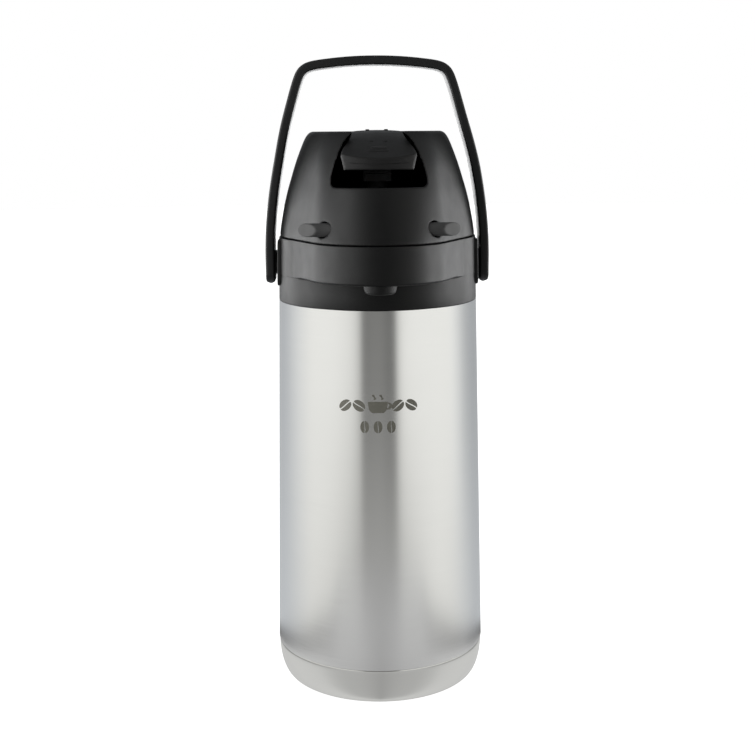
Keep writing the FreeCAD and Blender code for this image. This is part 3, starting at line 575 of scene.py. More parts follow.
# ------------------------------------------------------------------ pump head cover
LEVELS = [
    (317.3, 74.3, 104.2, 52.0), (324.0, 73.6, 102.6, 51.8), (331.0, 72.5, 100.7, 51.4), (338.0, 71.3, 98.6, 51.0),
    (345.0, 69.8, 96.3, 50.5), (352.0, 68.1, 93.8, 49.9), (359.0, 66.1, 90.9, 49.2), (366.0, 64.1, 87.6, 48.6),
    (373.0, 61.9, 83.7, 47.8), (380.0, 59.4, 78.6, 46.9), (386.0, 57.1, 73.4, 45.8), (390.0, 55.3, 69.3, 44.8),
    (393.0, 53.4, 65.6, 43.4), (394.8, 51.4, 62.9, 42.0), (395.5, 49.4, 60.8, 40.6)]
NH = 220


def head_ring(z, grow=0.0, at=None):
    w, r, q = (interp(z, LEVELS, c) for c in (1, 2, 3))
    return [(x, y, z if at is None else at) for x, y in plan(w, r, q, NH, grow)]


WALL = 2.6
rings = []
for g in (-40.0, -25.0, -12.0, -5.0):
    rings.append(head_ring(393.0, g, 392.9))
for z in list(np.linspace(391.5, 318.5, 26)):
    rings.append(head_ring(z, -WALL, z))
rings.append(head_ring(317.3, -WALL + 0.1, 316.5))
rings.append(head_ring(317.3, -0.5, 316.5))
rings.append(head_ring(317.3, -0.12, 316.65))
rings.append(head_ring(317.5, 0.0, 317.1))
zs = list(np.linspace(321.0, 384.0, 34)) + list(np.linspace(385.5, 394.5, 12)) + [394.9, 395.2, 395.38, 395.5]
for z in zs:
    rings.append(head_ring(z))
for g in (-1.5, -4.0, -10.0, -20.0, -38.0):
    rings.append(head_ring(395.5, g, 395.5))
head = grid_solid("pump_head_shell", rings, closed_profile=False, cap=True)

half_open = [(34.3, 355.8), (34.0, 363.0), (32.9, 367.8), (31.0, 373.9), (27.7, 382.3), (25.3, 387.6), (22.4, 391.3), (20.4, 393.5), (18.3, 395.6), (17.0, 405.0)]
opening = round_poly(half_open + [(-x, z) for x, z in reversed(half_open)], [5.4, 12, 14, 16, 16, 8, 4, 6, 6, 0, 0, 6, 6, 4, 8, 16, 16, 14, 12, 5.4], 7)
cut = prism("cut", opening, -126.0, -40.0, "Y")
boolean(head, cut)
slot = [(-75.0, 17.2), (-61.0, 18.3), (-50.0, 19.8), (-44.0, 21.2), (-40.0, 21.5), (-32.0, 20.9), (-20.0, 20.1), (0.0, 19.4), (20.0, 18.8), (36.0, 17.6), (42.5, 16.0), (46.0, 12.0)]
outline = [(-w, y) for y, w in slot] + [(w, y) for y, w in reversed(slot)]
cut = prism("cut", round_poly(outline, [0] + [6] * 9 + [4, 4] + [4, 4] + [6] * 9 + [0], 5), 356.0, 410.0)
boolean(head, cut)
relief = [(12.0, -85.8), (20.0, -84.8), (25.0, -83.9), (26.2, -82.0), (26.2, -60.0)]
boolean(head, prism("cut", [(-x, y) for x, y in reversed(relief)] + [(0.0, -86.2)] + relief, 336.0, 355.0))
for s in (1, -1):
    pts = [(-82.6 + 5.5 * math.cos(a), 326.3 + 5.5 * math.sin(a)) for a in np.linspace(0, 2 * math.pi, 40, endpoint=False)]
    cut = prism("cut", pts, s * 20.0, s * 70.0, "X")
    boolean(head, cut)
    pts = [(36 + 5.2 * math.cos(a), 383 + 5.2 * math.sin(a)) for a in np.linspace(0, 2 * math.pi, 32, endpoint=False)]
    boss = prism("boss", pts, s * 18.4, s * 26.0, "X")
    boolean(head, boss, "UNION")
knuckle = round_poly([(71.9, 317.4), (76.0, 317.4), (76.0, 311.0), (87.0, 311.0), (87.0, 322.0), (80.0, 322.0), (71.9, 324.0)],
                     [0, 0.3, 5.4, 5.4, 5.4, 2.0, 0], 8)
boolean(head, prism("knuckle", knuckle, -13.6, 13.6, "X"), "UNION")
remesh(head, 0.75, 5, 0.5)
finish_piece(head, "head", "black_plastic", "head_cover")

# ------------------------------------------------------------------ press lever
TOP = [(-87.0, 376.3), (-86.0, 376.8), (-78.0, 380.2), (-62.0, 386.3), (-48.0, 391.0), (-40.0, 393.1), (-32.0, 394.7), (-20.0, 395.9),
       (-6.0, 396.4), (10.0, 395.8), (26.0, 393.4), (36.0, 389.8), (41.0, 386.0), (44.0, 382.6)]
WID = [(-87.0, 26.0), (-86.0, 26.6), (-84.6, 27.0), (-83.0, 27.15), (-81.0, 27.1), (-72.0, 26.2), (-62.0, 24.4), (-50.0, 22.0), (-40.0, 20.5),
       (-25.0, 19.2), (0.0, 18.3), (30.0, 17.1), (38.0, 15.8), (41.5, 13.4), (44.0, 9.0)]
LOW = [(-87.0, 368.2), (-40.0, 368.4), (-6.0, 369.5), (20.0, 373.0), (36.0, 376.5), (41.0, 378.5), (44.0, 380.4)]


SKIRT = 0.078            # the skirt narrows downwards


def lever_ring(y, inset=0.0, edge=1.7):
    """One cross-section of the lever, as a closed loop in the plane y."""
    w, zt, zb = interp(y, WID, 1) - inset, interp(y, TOP, 1) - inset, interp(y, LOW, 1) + inset
    crown = 0.7 * min(1.0, max(0.0, (y + 87) / 50.0))
    edge = min(edge, (zt - zb) * 0.4, w * 0.4)
    pts = []
    nb = 10
    for k in range(nb + 1):                       # bottom, left to right
        x = -w + 2 * w * k / nb
        taper = 1 - SKIRT
        pts.append((x * taper, y, zb))
    for k in range(1, 5):                         # right wall
        g = k / 5
        pts.append((w * (1 - SKIRT * (1 - g)), y, zb + (zt - edge - zb) * g))
    for k in range(7):                            # right edge
        a = math.pi / 2 * k / 6
        pts.append((w - edge + edge * math.cos(a), y, zt - crown - edge + edge * math.sin(a)))
    nt = 22
    for k in range(1, nt):                        # top, right to left
        x = (w - edge) * (1 - 2 * k / nt)
        pts.append((x, y, zt - crown * (x / (w - edge)) ** 2))
    for k in range(7):
        a = math.pi / 2 * (1 - k / 6)
        pts.append((-(w - edge + edge * math.cos(a)), y, zt - crown - edge + edge * math.sin(a)))
    for k in range(1, 5):
        g = 1 - k / 5
        pts.append((-w * (1 - SKIRT * (1 - g)), y, zb + (zt - edge - zb) * g))
    return pts


front = [lever_ring(-87.0, i) for i in (3.92, 3.3, 2.6, 1.9)]          # the front face is closed by nested rings
for k in range(6):
    a = math.pi / 2 * k / 5
    front.append(lever_ring(-87.0 + 1.2 * (1 - math.cos(a)), 1.2 * (1 - math.sin(a))))
ys = list(np.linspace(-85.4, -78.0, 12)) + list(np.linspace(-76.5, 30.0, 62)) + list(np.linspace(31.0, 42.8, 16))
loops = front + [lever_ring(y) for y in ys] + [lever_ring(43.6, 0.5), lever_ring(43.95, 1.2)]


def bulge(p):
    """The front is bowed in plan, and the crown keeps its side profile."""
    x, y, z = p
    t = min(1.0, max(0.0, (-52.0 - y) / 35.0))
    y2 = y + 6.9 * t * t * min(1.0, abs(x) / 27.0) ** 2
    g = min(1.0, max(0.0, (z - interp(y, LOW, 1)) / (interp(y, TOP, 1) - interp(y, LOW, 1))))
    return (x, y2, z + g * (interp(y2, TOP, 1) - interp(y, TOP, 1)))


loops = [[bulge(p) for p in loop] for loop in loops]
lever = grid_solid("press_lever_body", loops, closed_profile=False, cap=True)
hollow_pts = [(y, interp(y, TOP, 1) - 2.4) for y in np.linspace(-76.0, 28.0, 40)]
hw = [(y, interp(y, WID, 1) - 2.6) for y in np.linspace(-76.5, 29.0, 30)]
cut = prism("cut", [(28.0, 355.0), (-76.0, 355.0)] + hollow_pts, -26.0, 26.0, "X")
lim = prism("lim", [(w, y) for y, w in hw] + [(-w, y) for y, w in reversed(hw)], 350.0, 410.0)
boolean(cut, lim, "INTERSECT")
pad = prism("pad", [(-14, -33), (14, -33), (14, -7), (-14, -7)], 369.0, 410.0)
boolean(cut, pad)
boolean(lever, cut)
boolean(lever, prism("cut", [(-22, -34), (22, -34), (22, -6), (-22, -6)], 340.0, 369.0))
pin = prism("cut", [(36 + 2.05 * math.cos(a), 383 + 2.05 * math.sin(a)) for a in np.linspace(0, 2 * math.pi, 32, endpoint=False)], -30, 30, "X")
boolean(lever, pin)
shade(lever.data, 42)
finish_piece(lever, "lever", "lever_plastic", "press_lever")


def on_top(x, y, lift=0.0):
    zt = interp(y, TOP, 1)
    w = interp(y, WID, 1) - 1.7
    crown = 0.7 * min(1.0, max(0.0, (y + 87) / 50.0))
    return (x, y, zt - crown * (x / w) ** 2 + lift)


# moulded marks on the lever: two dots and a plain raised press mark, generic
def raised(name, outline, height, hole=None):
    """A thin raised shape that follows the lever's top; outline is in (x, y)."""
    n = len(outline)
    cx = sum(p[0] for p in outline) / n
    cy = sum(p[1] for p in outline) / n
    verts, faces = [], []
    layers = [(1.0, -0.4), (1.0, height * 0.6), (0.93, height)]
    for sc, lift in layers:
        for x, y in outline:
            verts.append(on_top(cx + (x - cx) * sc, cy + (y - cy) * sc, lift))
    for i in range(len(layers) - 1):
        for k in range(n):
            faces.append((i * n + k, i * n + (k + 1) % n, (i + 1) * n + (k + 1) % n, (i + 1) * n + k))
    faces.append(tuple(reversed(range(n))))
    faces.append(tuple(range((len(layers) - 1) * n, len(layers) * n)))
    return make_mesh(name, verts, faces, 30)


def circle(cx, cy, r, n=24):
    return [(cx + r * math.cos(2 * math.pi * k / n), cy + r * math.sin(2 * math.pi * k / n)) for k in range(n)]


def bar(x0, x1, y0, y1, r):
    return round_poly([(x0, y0), (x1, y0), (x1, y1), (x0, y1)], r, 5)


for i, (x, y) in enumerate(((-5.2, -56.0), (5.2, -56.0))):
    finish_piece(raised("lever_dot_%d" % i, circle(x, y, 1.5), 0.35), "lever", "lever_plastic")
finish_piece(raised("lever_mark_bar", bar(-7.5, 7.5, -75.6, -74.2, 0.6), 0.35), "lever", "lever_plastic")
finish_piece(raised("lever_mark_pad", bar(-6.0, 6.0, -71.8, -66.6, 2.2), 0.3), "lever", "lever_plastic")
for i, x in enumerate((-7.2, 7.0)):
    pip = lathe("lever_pip_%d" % i, round_poly([(0.0, -1.0), (1.5, -1.0), (1.5, 0.9), (0.0, 0.9)], [0, 0.2, 0.5, 0], 5), 24)
    px, py, pz = on_top(x, -14.0)
    pip.location = (px * MM, py * MM, pz * MM)
    finish_piece(pip, "lever", "lever_plastic")

# ------------------------------------------------------------------ release buttons
for s, side in ((1, "right"), (-1, "left")):
    rings = []
    by, bz = -82.6, 326.3
    nn = 48

    def peg_ring(r, back=None, x=None):
        out = []
        for k in range(nn):
            a = 2 * math.pi * k / nn
            y, z = by + r * math.cos(a), bz + r * math.sin(a)
            px = x if x is not None else 51.8 + 1.402 * (y - by) - back
            out.append((s * px, y, z))
        return out

    rings = [peg_ring(2.6, x=33.0), peg_ring(2.6, x=25.7), peg_ring(5.8, x=25.7), peg_ring(6.2, x=26.1), peg_ring(6.2, x=28.8), peg_ring(5.8, x=29.2),
             peg_ring(5.0, x=29.2), peg_ring(4.8, x=29.6), peg_ring(4.8, back=1.1)]
    for k in range(1, 6):
        a = math.pi / 2 * k / 5
        rings.append(peg_ring(4.8 - 0.7 * (1 - math.cos(a)), back=1.1 * (1 - math.sin(a))))
    rings += [peg_ring(2.6, back=0.0), peg_ring(0.6, back=0.0)]
    peg = grid_solid("button_peg_" + side, rings, closed_profile=False, cap=True, angle=40)
    finish_piece(peg, "button_" + side, "lever_plastic", "release_button_" + side)
    # the pegs take the lighter grey plastic, a painted highlight for their lit ends and sides
    peg.data.materials[0] = M["peg_plastic"]

# ------------------------------------------------------------------ carrying bail
CTRL = [(84.3, 280.5), (84.35, 284.0), (84.5, 290.0), (84.85, 305.0), (84.5, 322.0), (82.8, 343.0), (79.6, 366.0), (75.4, 389.0), (71.2, 407.0),
        (67.5, 421.0), (65.0, 430.0), (63.1, 436.0), (61.2, 440.8), (58.3, 444.9), (54.0, 447.9), (48.5, 449.6), (36.0, 451.4), (24.0, 452.6),
        (12.0, 453.3), (0.0, 453.5)]


def catmull(points, per):
    pts = [np.array(p, float) for p in points]
    pts = [2 * pts[0] - pts[1]] + pts + [np.array([-pts[-2][0], pts[-2][1]])]
    out = []
    for i in range(1, len(pts) - 2):
        p0, p1, p2, p3 = pts[i - 1:i + 3]
        t0, t1 = 0.0, np.linalg.norm(p1 - p0) ** 0.5
        t2 = t1 + np.linalg.norm(p2 - p1) ** 0.5
        t3 = t2 + np.linalg.norm(p3 - p2) ** 0.5
        for k in range(per):
            t = t1 + (t2 - t1) * k / per
            a1 = (t1 - t) / (t1 - t0) * p0 + (t - t0) / (t1 - t0) * p1
            a2 = (t2 - t) / (t2 - t1) * p1 + (t - t1) / (t2 - t1) * p2
            a3 = (t3 - t) / (t3 - t2) * p2 + (t - t2) / (t3 - t2) * p3
            b1 = (t2 - t) / (t2 - t0) * a1 + (t - t0) / (t2 - t0) * a2
            b2 = (t3 - t) / (t3 - t1) * a2 + (t - t1) / (t3 - t1) * a3
            out.append((t2 - t) / (t2 - t1) * b1 + (t - t1) / (t2 - t1) * b2)
    out.append(pts[-2])
    return out


half = catmull(CTRL, 7)
path = half + [np.array([-p[0], p[1]]) for p in reversed(half[:-1])]
# even steps, finer than 2.5 mm
P = np.array(path)
seg = np.r_[0, np.cumsum(np.linalg.norm(np.diff(P, axis=0), axis=1))]
count = 340
s_even = np.linspace(0, seg[-1], count)
P = np.stack([np.interp(s_even, seg, P[:, 0]), np.interp(s_even, seg, P[:, 1])], 1)
up = np.clip((P[:, 1] - 366.0) / 45.0, 0.0, 1.0)
P[:, 0] = P[:, 0] * (1.0 - 0.009 * up) - 0.2 - 1.15 * up * up * (3.0 - 2.0 * up)      # the top of the loop leans a hair to one side
for _ in range(4):
    P[1:-1] = (P[:-2] + 2 * P[1:-1] + P[2:]) / 4
tan = np.gradient(P, axis=0)
tan /= np.linalg.norm(tan, axis=1)[:, None]
nor = np.stack([tan[:, 1], -tan[:, 0]], 1)
nor *= np.sign((nor[:, 0] * P[:, 0] + nor[:, 1] * (P[:, 1] - 360.0)))[:, None]
loops = []
for i in range(count):
    low = min(s_even[i], seg[-1] - s_even[i])          # distance from the nearer foot
    zc = 280.5 + low
    below = 296.5 - zc
    depth = 13.0 if below < 0 else min(13.0, math.sqrt(max(0.0, 16.0 ** 2 - below ** 2)))
    depth = max(depth, 1.2)
    full = 7.0
    t = full if low > 3.4 else full * math.sqrt(max(0.03, 1 - ((3.4 - low) / 3.4) ** 2))
    mid = P[i] - nor[i] * full / 2
    rc = min(1.7, t * 0.4, depth * 0.6)
    loop = []
    for (sx, sy) in ((1, -1), (1, 1), (-1, 1), (-1, -1)):
        for k in range(6):
            a = {(1, -1): -math.pi / 2, (1, 1): 0, (-1, 1): math.pi / 2, (-1, -1): math.pi}[(sx, sy)] + math.pi / 2 * k / 5
            u = sx * (t / 2 - rc) + rc * math.cos(a)
            v = sy * (depth - rc) + rc * math.sin(a)
            p = mid + nor[i] * u
            loop.append((p[0], v, p[1]))
    loops.append(loop)
bail = grid_solid("carry_bail", loops, closed_profile=False, cap=True)
finish_piece(bail, "bail", "bail_plastic", "bail_handle")
for s, side in ((1, "right"), (-1, "left")):
    prof = round_poly([(4.05, 75.9), (9.0, 75.9), (9.0, 79.0), (4.05, 79.0)], [0.2, 0.6, 0, 0], 4)
    boss = lathe("bail_boss_" + side, [(r, s * h) for r, h in prof], 64, cy=0.0, axis="X")
    for v in boss.data.vertices:
        v.co.z += 296.5 * MM
    finish_piece(boss, "bail", "bail_plastic")

# ------------------------------------------------------------------ printed mark on the jacket: a plain cup, generic
MARK_Z = 196.2


def on_jacket(outline, name, thick=0.05):
    """A thin printed shape wrapped on the jacket's front; outline is (sideways, up) in mm from the mark's centre."""
    bm = bmesh.new()
    ring = [bm.verts.new((p[0], 0, p[1])) for p in outline]
    bm.faces.new(ring)
    bmesh.ops.triangulate(bm, faces=bm.faces)
    for _ in range(3):
        long = [e for e in bm.edges if abs(e.verts[0].co.x - e.verts[1].co.x) > 1.6]
        if not long:
            break
        bmesh.ops.subdivide_edges(bm, edges=long, cuts=1)
        bmesh.ops.triangulate(bm, faces=bm.faces)
    geo = bmesh.ops.extrude_face_region(bm, geom=list(bm.faces))
    top = [g for g in geo["geom"] if isinstance(g, bmesh.types.BMVert)]
    for v in top:
        v.co.y = 1.0
    for v in bm.verts:
        r = 75.0 + (thick if v.co.y > 0.5 else 0.005)
        a = v.co.x / 75.0
        v.co = Vector((r * math.sin(a), -r * math.cos(a), MARK_Z + v.co.z)) * MM
    bmesh.ops.recalc_face_normals(bm, faces=bm.faces)
    me = bpy.data.meshes.new(name)
    bm.to_mesh(me)
    bm.free()
    ob = bpy.data.objects.new(name, me)
    bpy.context.scene.collection.objects.link(ob)
    return finish_piece(ob, "pot", "print_ink")


def bean(cx, cz, w, h, tilt):
    """Two halves of a coffee bean with the slit between them."""
    c, q = math.cos(math.radians(tilt)), math.sin(math.radians(tilt))
    halves = []
    for sgn in (1, -1):
        pts = []
        for t in np.linspace(0.0, math.pi, 15):
            pts.append((w / 2 * math.cos(t), sgn * (0.35 + (h / 2 - 0.35) * math.sin(t))))
        for t in np.linspace(math.pi, 0.0, 9)[1:-1]:
            pts.append((w / 2 * math.cos(t), sgn * (0.35 + 0.0 * t) + 0.30 * math.sin(2 * t)))
        halves.append([(cx + x * c - y * q, cz + x * q + y * c) for x, y in pts])
    return halves


MX = -2.0
on_jacket([(MX + x, z) for x, z in round_poly([(-7.2, 9.8), (-6.2, 4.0), (-4.2, 2.0), (4.2, 2.0), (6.2, 4.0), (7.2, 9.8)], [0.6, 2.4, 2.4, 2.4, 2.4, 0.6], 6)], "mark_cup")
arc_o = [(MX + 6.6 + 3.5 * math.cos(a), 6.9 + 2.6 * math.sin(a)) for a in np.linspace(1.35, -1.75, 16)]
arc_i = [(MX + 6.6 + 2.2 * math.cos(a), 6.9 + 1.4 * math.sin(a)) for a in np.linspace(-1.75, 1.35, 16)]
on_jacket(arc_o + arc_i, "mark_cup_ear")
for i, x0 in enumerate((-2.6, 2.6)):
    line = [(MX + x0 + 0.9 * math.sin(t * 5.6), 11.0 + 3.6 * t) for t in np.linspace(0, 1, 12)]
    on_jacket([(x - 0.62, z) for x, z in line] + [(x + 0.62, z) for x, z in reversed(line)], "mark_steam_%d" % i)
for i, (bx, tilt) in enumerate(((-23.4, 35), (-13.4, 145), (14.2, 35), (24.0, 145))):
    for k, half_bean in enumerate(bean(MX + bx, 6.9, 9.4, 7.2, tilt)):
        on_jacket(half_bean, "mark_bean_%d_%d" % (i, k))
for i, (bx, tilt) in enumerate(((-10.4, 90), (-1.0, 90), (8.4, 90))):
    for k, half_bean in enumerate(bean(MX + bx + 1.0, -7.6, 8.2, 6.2, tilt)):
        on_jacket(half_bean, "mark_grain_%d_%d" % (i, k))

# ------------------------------------------------------------------ bellows and return spring, copied 0.2 mm shorter and carried by the head
for name in ("bellows", "return_spring"):
    src = nodes[name]
    me = src.data.copy()
    me.transform(src.matrix_world)
    me.polygons.foreach_set("use_smooth", [True] * len(me.polygons))
    me.set_sharp_from_angle(angle=math.radians(32))
    zs = [v.co.z for v in me.vertices]
    foot, top = min(zs), max(zs)
    for v in me.vertices:
        v.co.z = foot + (v.co.z - foot) * (1.0 - 0.0002 / (top - foot))
    soft = bpy.data.objects.new(name + "_soft", me)
    bpy.context.scene.collection.objects.link(soft)
    finish_piece(soft, "head", slot_of[name], name)
    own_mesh(soft)

# ------------------------------------------------------------------ smooth shading on the carried CAD pieces
for name, ob in nodes.items():
    if not ob.hide_render:
        me = ob.data
        me.polygons.foreach_set("use_smooth", [True] * len(me.polygons))
        me.set_sharp_from_angle(angle=math.radians(32))

# ------------------------------------------------------------------ floor, light, camera
scene = bpy.context.scene
scene.view_settings.view_transform = "Standard"
scene.view_settings.look = "None"
scene.view_settings.exposure = 0.0
scene.view_settings.gamma = 1.0

floor = prism("floor", [(6000 * math.cos(a), 6000 * math.sin(a)) for a in np.linspace(0, 2 * math.pi, 96, endpoint=False)], -20.0, -0.02)
fn = Nodes("mat_floor")
fd = fn.noise(fn.scaled(3, 3, 3), 1.0, 3.0, 0.5)
fn.put("Base Color", fn.mix(fn.ramp(fd, 0, 1), (0.80, 0.80, 0.80), (0.84, 0.84, 0.84)))
fn.put("Roughness", 0.9)
fn.put("Specular IOR Level", 0.2)
fn.bsdf.inputs["Emission Color"].default_value = (1, 1, 1, 1)
fn.put("Emission Strength", fn.math("MULTIPLY", fn.add("ShaderNodeLightPath").outputs["Is Camera Ray"], 0.78))
floor.data.materials.clear()
floor.data.materials.append(fn.mat)
floor.visible_glossy = False
floor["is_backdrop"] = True
# painted shade: a glowing sheet round the foot, seen only in the steel's reflections, that stands in for the counter
# shaded by the pot
near = lathe("floor_painted_shade_ring", [(62.0, -0.05), (420.0, -0.05), (420.0, -9.0), (62.0, -9.0)], 96)
ns = Nodes("mat_floor_painted_shade_ring")
sp = ns.add("ShaderNodeSeparateXYZ")
ns.link(ns.coord, sp.inputs[0])
rad = ns.math("SQRT", ns.math("ADD", ns.math("POWER", sp.outputs[0], 2.0), ns.math("POWER", sp.outputs[1], 2.0)))
inc = ns.add("ShaderNodeSeparateXYZ")
ns.link(ns.add("ShaderNodeNewGeometry").outputs["Incoming"], inc.inputs[0])
side = ns.math("ABSOLUTE", ns.math("ARCTAN2", ns.math("MULTIPLY", inc.outputs[0], -1.0), inc.outputs[1]))
side01 = ns.math("DIVIDE", side, math.pi)


def by_side(points):
    """A value given by the direction of view round the foot, (degrees, value)."""
    n = ns.add("ShaderNodeFloatCurve")
    cv = n.mapping.curves[0]
    while len(cv.points) < len(points):
        cv.points.new(0.5, 0.5)
    for p, (a, v) in zip(cv.points, points):
        p.location = (a / 180.0, v)
        p.handle_type = "AUTO_CLAMPED"
    n.mapping.update()
    ns.link(side01, n.inputs["Value"])
    return n.outputs[0]


# painted shade: the sheet's glow by direction of view, close to the foot and farther out
painted_rim_shade = by_side([(0, 0.41), (25, 0.49), (45, 0.52), (60, 0.58), (80, 0.68), (110, 0.70), (140, 0.66), (180, 0.6)])
painted_ring_shade = by_side([(0, 0.47), (30, 0.54), (47, 0.52), (58, 0.43), (79, 0.30), (103, 0.21), (138, 0.17), (180, 0.17)])
r_rim = by_side([(0, 0.126), (58, 0.122), (79, 0.119), (103, 0.115), (138, 0.106), (180, 0.098)])
r_full = by_side([(0, 0.240), (47, 0.205), (58, 0.162), (79, 0.134), (103, 0.120), (138, 0.112), (180, 0.105)])
r_open = by_side([(0, 0.340), (47, 0.285), (58, 0.238), (79, 0.200), (103, 0.170), (138, 0.148), (180, 0.13)])


def step_between(lo, hi):
    n = ns.add("ShaderNodeMapRange", interpolation_type="SMOOTHSTEP")
    ns.link(rad, n.inputs["Value"])
    ns.link(lo, n.inputs["From Min"])
    ns.link(hi, n.inputs["From Max"])
    return n.outputs[0]


pick = step_between(r_rim, ns.math("ADD", r_rim, 0.005))
painted_shade_emission = ns.add("ShaderNodeEmission")
ns.link(ns.math("ADD", ns.math("MULTIPLY", painted_rim_shade, ns.math("SUBTRACT", 1.0, pick)), ns.math("MULTIPLY", painted_ring_shade, pick)), painted_shade_emission.inputs["Strength"])
clear = ns.add("ShaderNodeBsdfTransparent")
blend = ns.add("ShaderNodeMixShader")
ns.link(step_between(r_full, r_open), blend.inputs[0])
ns.link(painted_shade_emission.outputs[0], blend.inputs[1])
ns.link(clear.outputs[0], blend.inputs[2])
ns.link(blend.outputs[0], ns.out.inputs["Surface"])
near.data.materials.clear()
near.data.materials.append(ns.mat)
near.visible_camera = near.visible_diffuse = near.visible_shadow = near.visible_transmission = False
near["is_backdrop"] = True

world = bpy.data.worlds.new("studio")
scene.world = world
world.use_nodes = True
wt = world.node_tree
wt.nodes.clear()


def wn(kind, **props):
    n = wt.nodes.new(kind)
    for k, v in props.items():
        setattr(n, k, v)
    return n


def wmath(op, a, b=None, c=None):
    n = wn("ShaderNodeMath", operation=op)
    for i, v in enumerate((a, b, c)):
        if v is None:
            continue
        if isinstance(v, (int, float)):
            n.inputs[i].default_value = v
        else:
            wt.links.new(v, n.inputs[i])
    return n.outputs[0]


tc = wn("ShaderNodeTexCoord").outputs["Generated"]
sep = wn("ShaderNodeSeparateXYZ")
wt.links.new(tc, sep.inputs[0])
azim = wmath("ARCTAN2", sep.outputs[0], wmath("MULTIPLY", sep.outputs[1], -1.0))     # 0 towards -Y, positive towards +X
azim_deg = wmath("MULTIPLY", azim, 180.0 / math.pi)
az01 = wmath("DIVIDE", wmath("ADD", azim_deg, 180.0), 360.0)


def curve(points):
    n = wn("ShaderNodeFloatCurve")
    cv = n.mapping.curves[0]
    while len(cv.points) < len(points):
        cv.points.new(0.5, 0.5)
    for p, (a, v) in zip(cv.points, points):
        p.location = ((a + 180) / 360.0, v)
        p.handle_type = "AUTO_CLAMPED"
    n.mapping.update()
    wt.links.new(az01, n.inputs["Value"])
    return n.outputs[0]


# brightness of the studio by direction round the object, level with it and towards the counter in front
LEVEL = curve([(-180, 0.50), (-150, 0.53), (-130, 0.61), (-115, 0.74), (-93, 0.92), (-74, 1.0), (-58, 1.0), (-43, 0.96), (-33, 0.90), (-27, 0.80), (-21, 0.56), (-15.5, 0.19),
               (-8, 0.215), (0, 0.225), (8, 0.18), (14, 0.15), (18.5, 0.36), (23.5, 0.84), (34, 0.99), (49, 1.0), (65, 1.0), (82, 1.0), (101, 0.85), (113, 0.64), (127, 0.51), (145, 0.45),
               (180, 0.44)])
LOW = curve([(-180, 0.56), (-138, 0.64), (-115, 0.71), (-98, 0.78), (-83, 0.82), (-70, 0.80), (-58, 0.75), (-46, 0.67), (-35, 0.56), (-25, 0.45), (-14, 0.42), (0, 0.43), (6, 0.42),
             (17, 0.45), (27, 0.55), (38, 0.67), (49, 0.76), (60, 0.82), (73, 0.86), (87, 0.83), (101, 0.77), (120, 0.69), (145, 0.58), (180, 0.56)])
elev = wmath("MULTIPLY", wmath("ARCSINE", sep.outputs[2]), 180.0 / math.pi)
drop = wn("ShaderNodeMapRange", interpolation_type="SMOOTHSTEP")
wt.links.new(elev, drop.inputs["Value"])
drop.inputs["From Min"].default_value, drop.inputs["From Max"].default_value = -8.0, -22.0
drop.inputs["To Min"].default_value, drop.inputs["To Max"].default_value = 0.0, 1.0
level = wn("ShaderNodeMix", data_type="FLOAT")
wt.links.new(drop.outputs[0], level.inputs[0])
wt.links.new(LEVEL, level.inputs[2])
wt.links.new(LOW, level.inputs[3])
tint = wn("ShaderNodeMix", data_type="RGBA")
rim = wn("ShaderNodeMapRange")
wt.links.new(wmath("ABSOLUTE", azim_deg), rim.inputs["Value"])
rim.inputs["From Min"].default_value, rim.inputs["From Max"].default_value = 85.0, 135.0
wt.links.new(rim.outputs[0], tint.inputs[0])
tint.inputs[6].default_value = (1.0, 1.0, 0.965, 1.0)
tint.inputs[7].default_value = (0.95, 0.985, 1.02, 1.0)
bg = wn("ShaderNodeBackground")
wt.links.new(level.outputs[0], bg.inputs["Strength"])
wt.links.new(tint.outputs[2], bg.inputs["Color"])
white = wn("ShaderNodeBackground")
white.inputs["Color"].default_value = (1, 1, 1, 1)
white.inputs["Strength"].default_value = 1.0
lp = wn("ShaderNodeLightPath")
mx = wn("ShaderNodeMixShader")
wt.links.new(lp.outputs["Is Camera Ray"], mx.inputs[0])
wt.links.new(bg.outputs[0], mx.inputs[1])
wt.links.new(white.outputs[0], mx.inputs[2])
wo = wn("ShaderNodeOutputWorld")
wt.links.new(mx.outputs[0], wo.inputs[0])

plastics = bpy.data.collections.new("plastic_receivers")
for ob in scene.objects:
    if ob.type == "MESH" and ob.data.materials and ob.data.materials[0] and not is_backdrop(ob):
        if "steel" not in ob.data.materials[0].name and "brushed" not in ob.data.materials[0].name:
            plastics.objects.link(ob)


def area(name, loc, target, sx, sy, power, linked=True):
    ld = bpy.data.lights.new(name, "AREA")
    ld.shape = "RECTANGLE"
    ld.size, ld.size_y = sx, sy
    ld.energy = power
    lo = bpy.data.objects.new(name, ld)
    scene.collection.objects.link(lo)
    lo.location = loc
    lo.rotation_euler = (Vector(target) - Vector(loc)).to_track_quat("-Z", "Y").to_euler()
    lo.visible_camera = False
    if linked:
        lo.light_linking.receiver_collection = plastics
    return lo


def at(azimuth, d, z):
    a = math.radians(azimuth)
    return (d * math.sin(a), -d * math.cos(a), z)


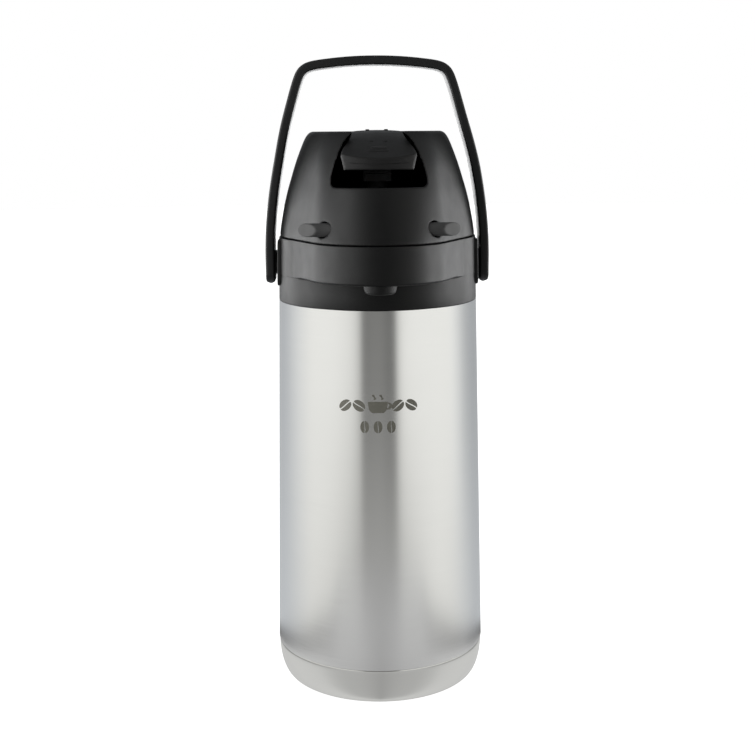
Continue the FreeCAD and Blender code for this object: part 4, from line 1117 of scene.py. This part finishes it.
# a row of soft boxes round the object, levels by direction
for azimuth, power in ((-125, 6.9), (-105, 3.6), (-85, 13.0), (-65, 4.6), (-45, 4.2), (-28, 0.8), (65, 1.6), (85, 16.0), (105, 3.8), (125, 5.4)):
    area("soft_%d" % azimuth, at(azimuth, 1.2, 0.22), (0, 0, 0.33), 0.45, 0.75, power)
area("soft_high", at(-60, 1.2, 0.95), (0, 0, 0.33), 0.8, 0.5, 10.0)
back = area("back", at(180, 1.3, 0.42), (0, 0, 0.36), 2.2, 0.8, 18.0)
bail_only = bpy.data.collections.new("bail_receiver")
for ob in scene.objects:
    if ob.name.startswith("carry_bail"):
        bail_only.objects.link(ob)
back.light_linking.receiver_collection = bail_only

YAW = math.radians(1.2)
cam_data = bpy.data.cameras.new("camera")
cam = bpy.data.objects.new("camera", cam_data)
scene.collection.objects.link(cam)
dist = 998.15 * MM
cam.location = (-dist * math.sin(YAW), -dist * math.cos(YAW), 0.3952)
rot = Matrix.Rotation(-YAW, 3, "Z") @ Matrix.Rotation(math.radians(90) + 0.08585, 3, "X") @ Matrix.Rotation(-0.007695, 3, "Z")
cam.rotation_mode = "XYZ"
cam.rotation_euler = rot.to_euler("XYZ")
cam_data.sensor_width = 36.0
cam_data.lens = 36.0 * 1286.29 / 755.0
cam_data.clip_start, cam_data.clip_end = 0.05, 50.0
scene.camera = cam
# the lens is shifted only for this one viewpoint; from any other direction the shift is zero
tilt = cam.rotation_euler[0]
for prop, value in (("shift_x", (377.5 - 375.52) / 755.0), ("shift_y", (20.80 - 377.5) / 755.0)):
    fc = cam_data.driver_add(prop)
    for m in list(fc.modifiers):
        fc.modifiers.remove(m)
    fc.driver.type = "SUM"
    TIMES = 8                                  # the tilt is added up so that its window on the curve can be narrow
    for _ in range(TIMES):
        var = fc.driver.variables.new()
        var.type = "TRANSFORMS"
        tg = var.targets[0]
        tg.id = cam
        tg.transform_type = "ROT_X"
        tg.rotation_mode = "XYZ"
        tg.transform_space = "WORLD_SPACE"
    keys = [(TIMES * tilt - 0.06, 0.0), (TIMES * tilt - 0.03, value), (TIMES * tilt + 0.03, value), (TIMES * tilt + 0.06, 0.0)]
    fc.keyframe_points.add(len(keys))
    for kp, (x, y) in zip(fc.keyframe_points, keys):
        kp.co = (x, y)
        kp.interpolation = "LINEAR"
    fc.extrapolation = "CONSTANT"
    fc.update()
bpy.context.view_layer.update()
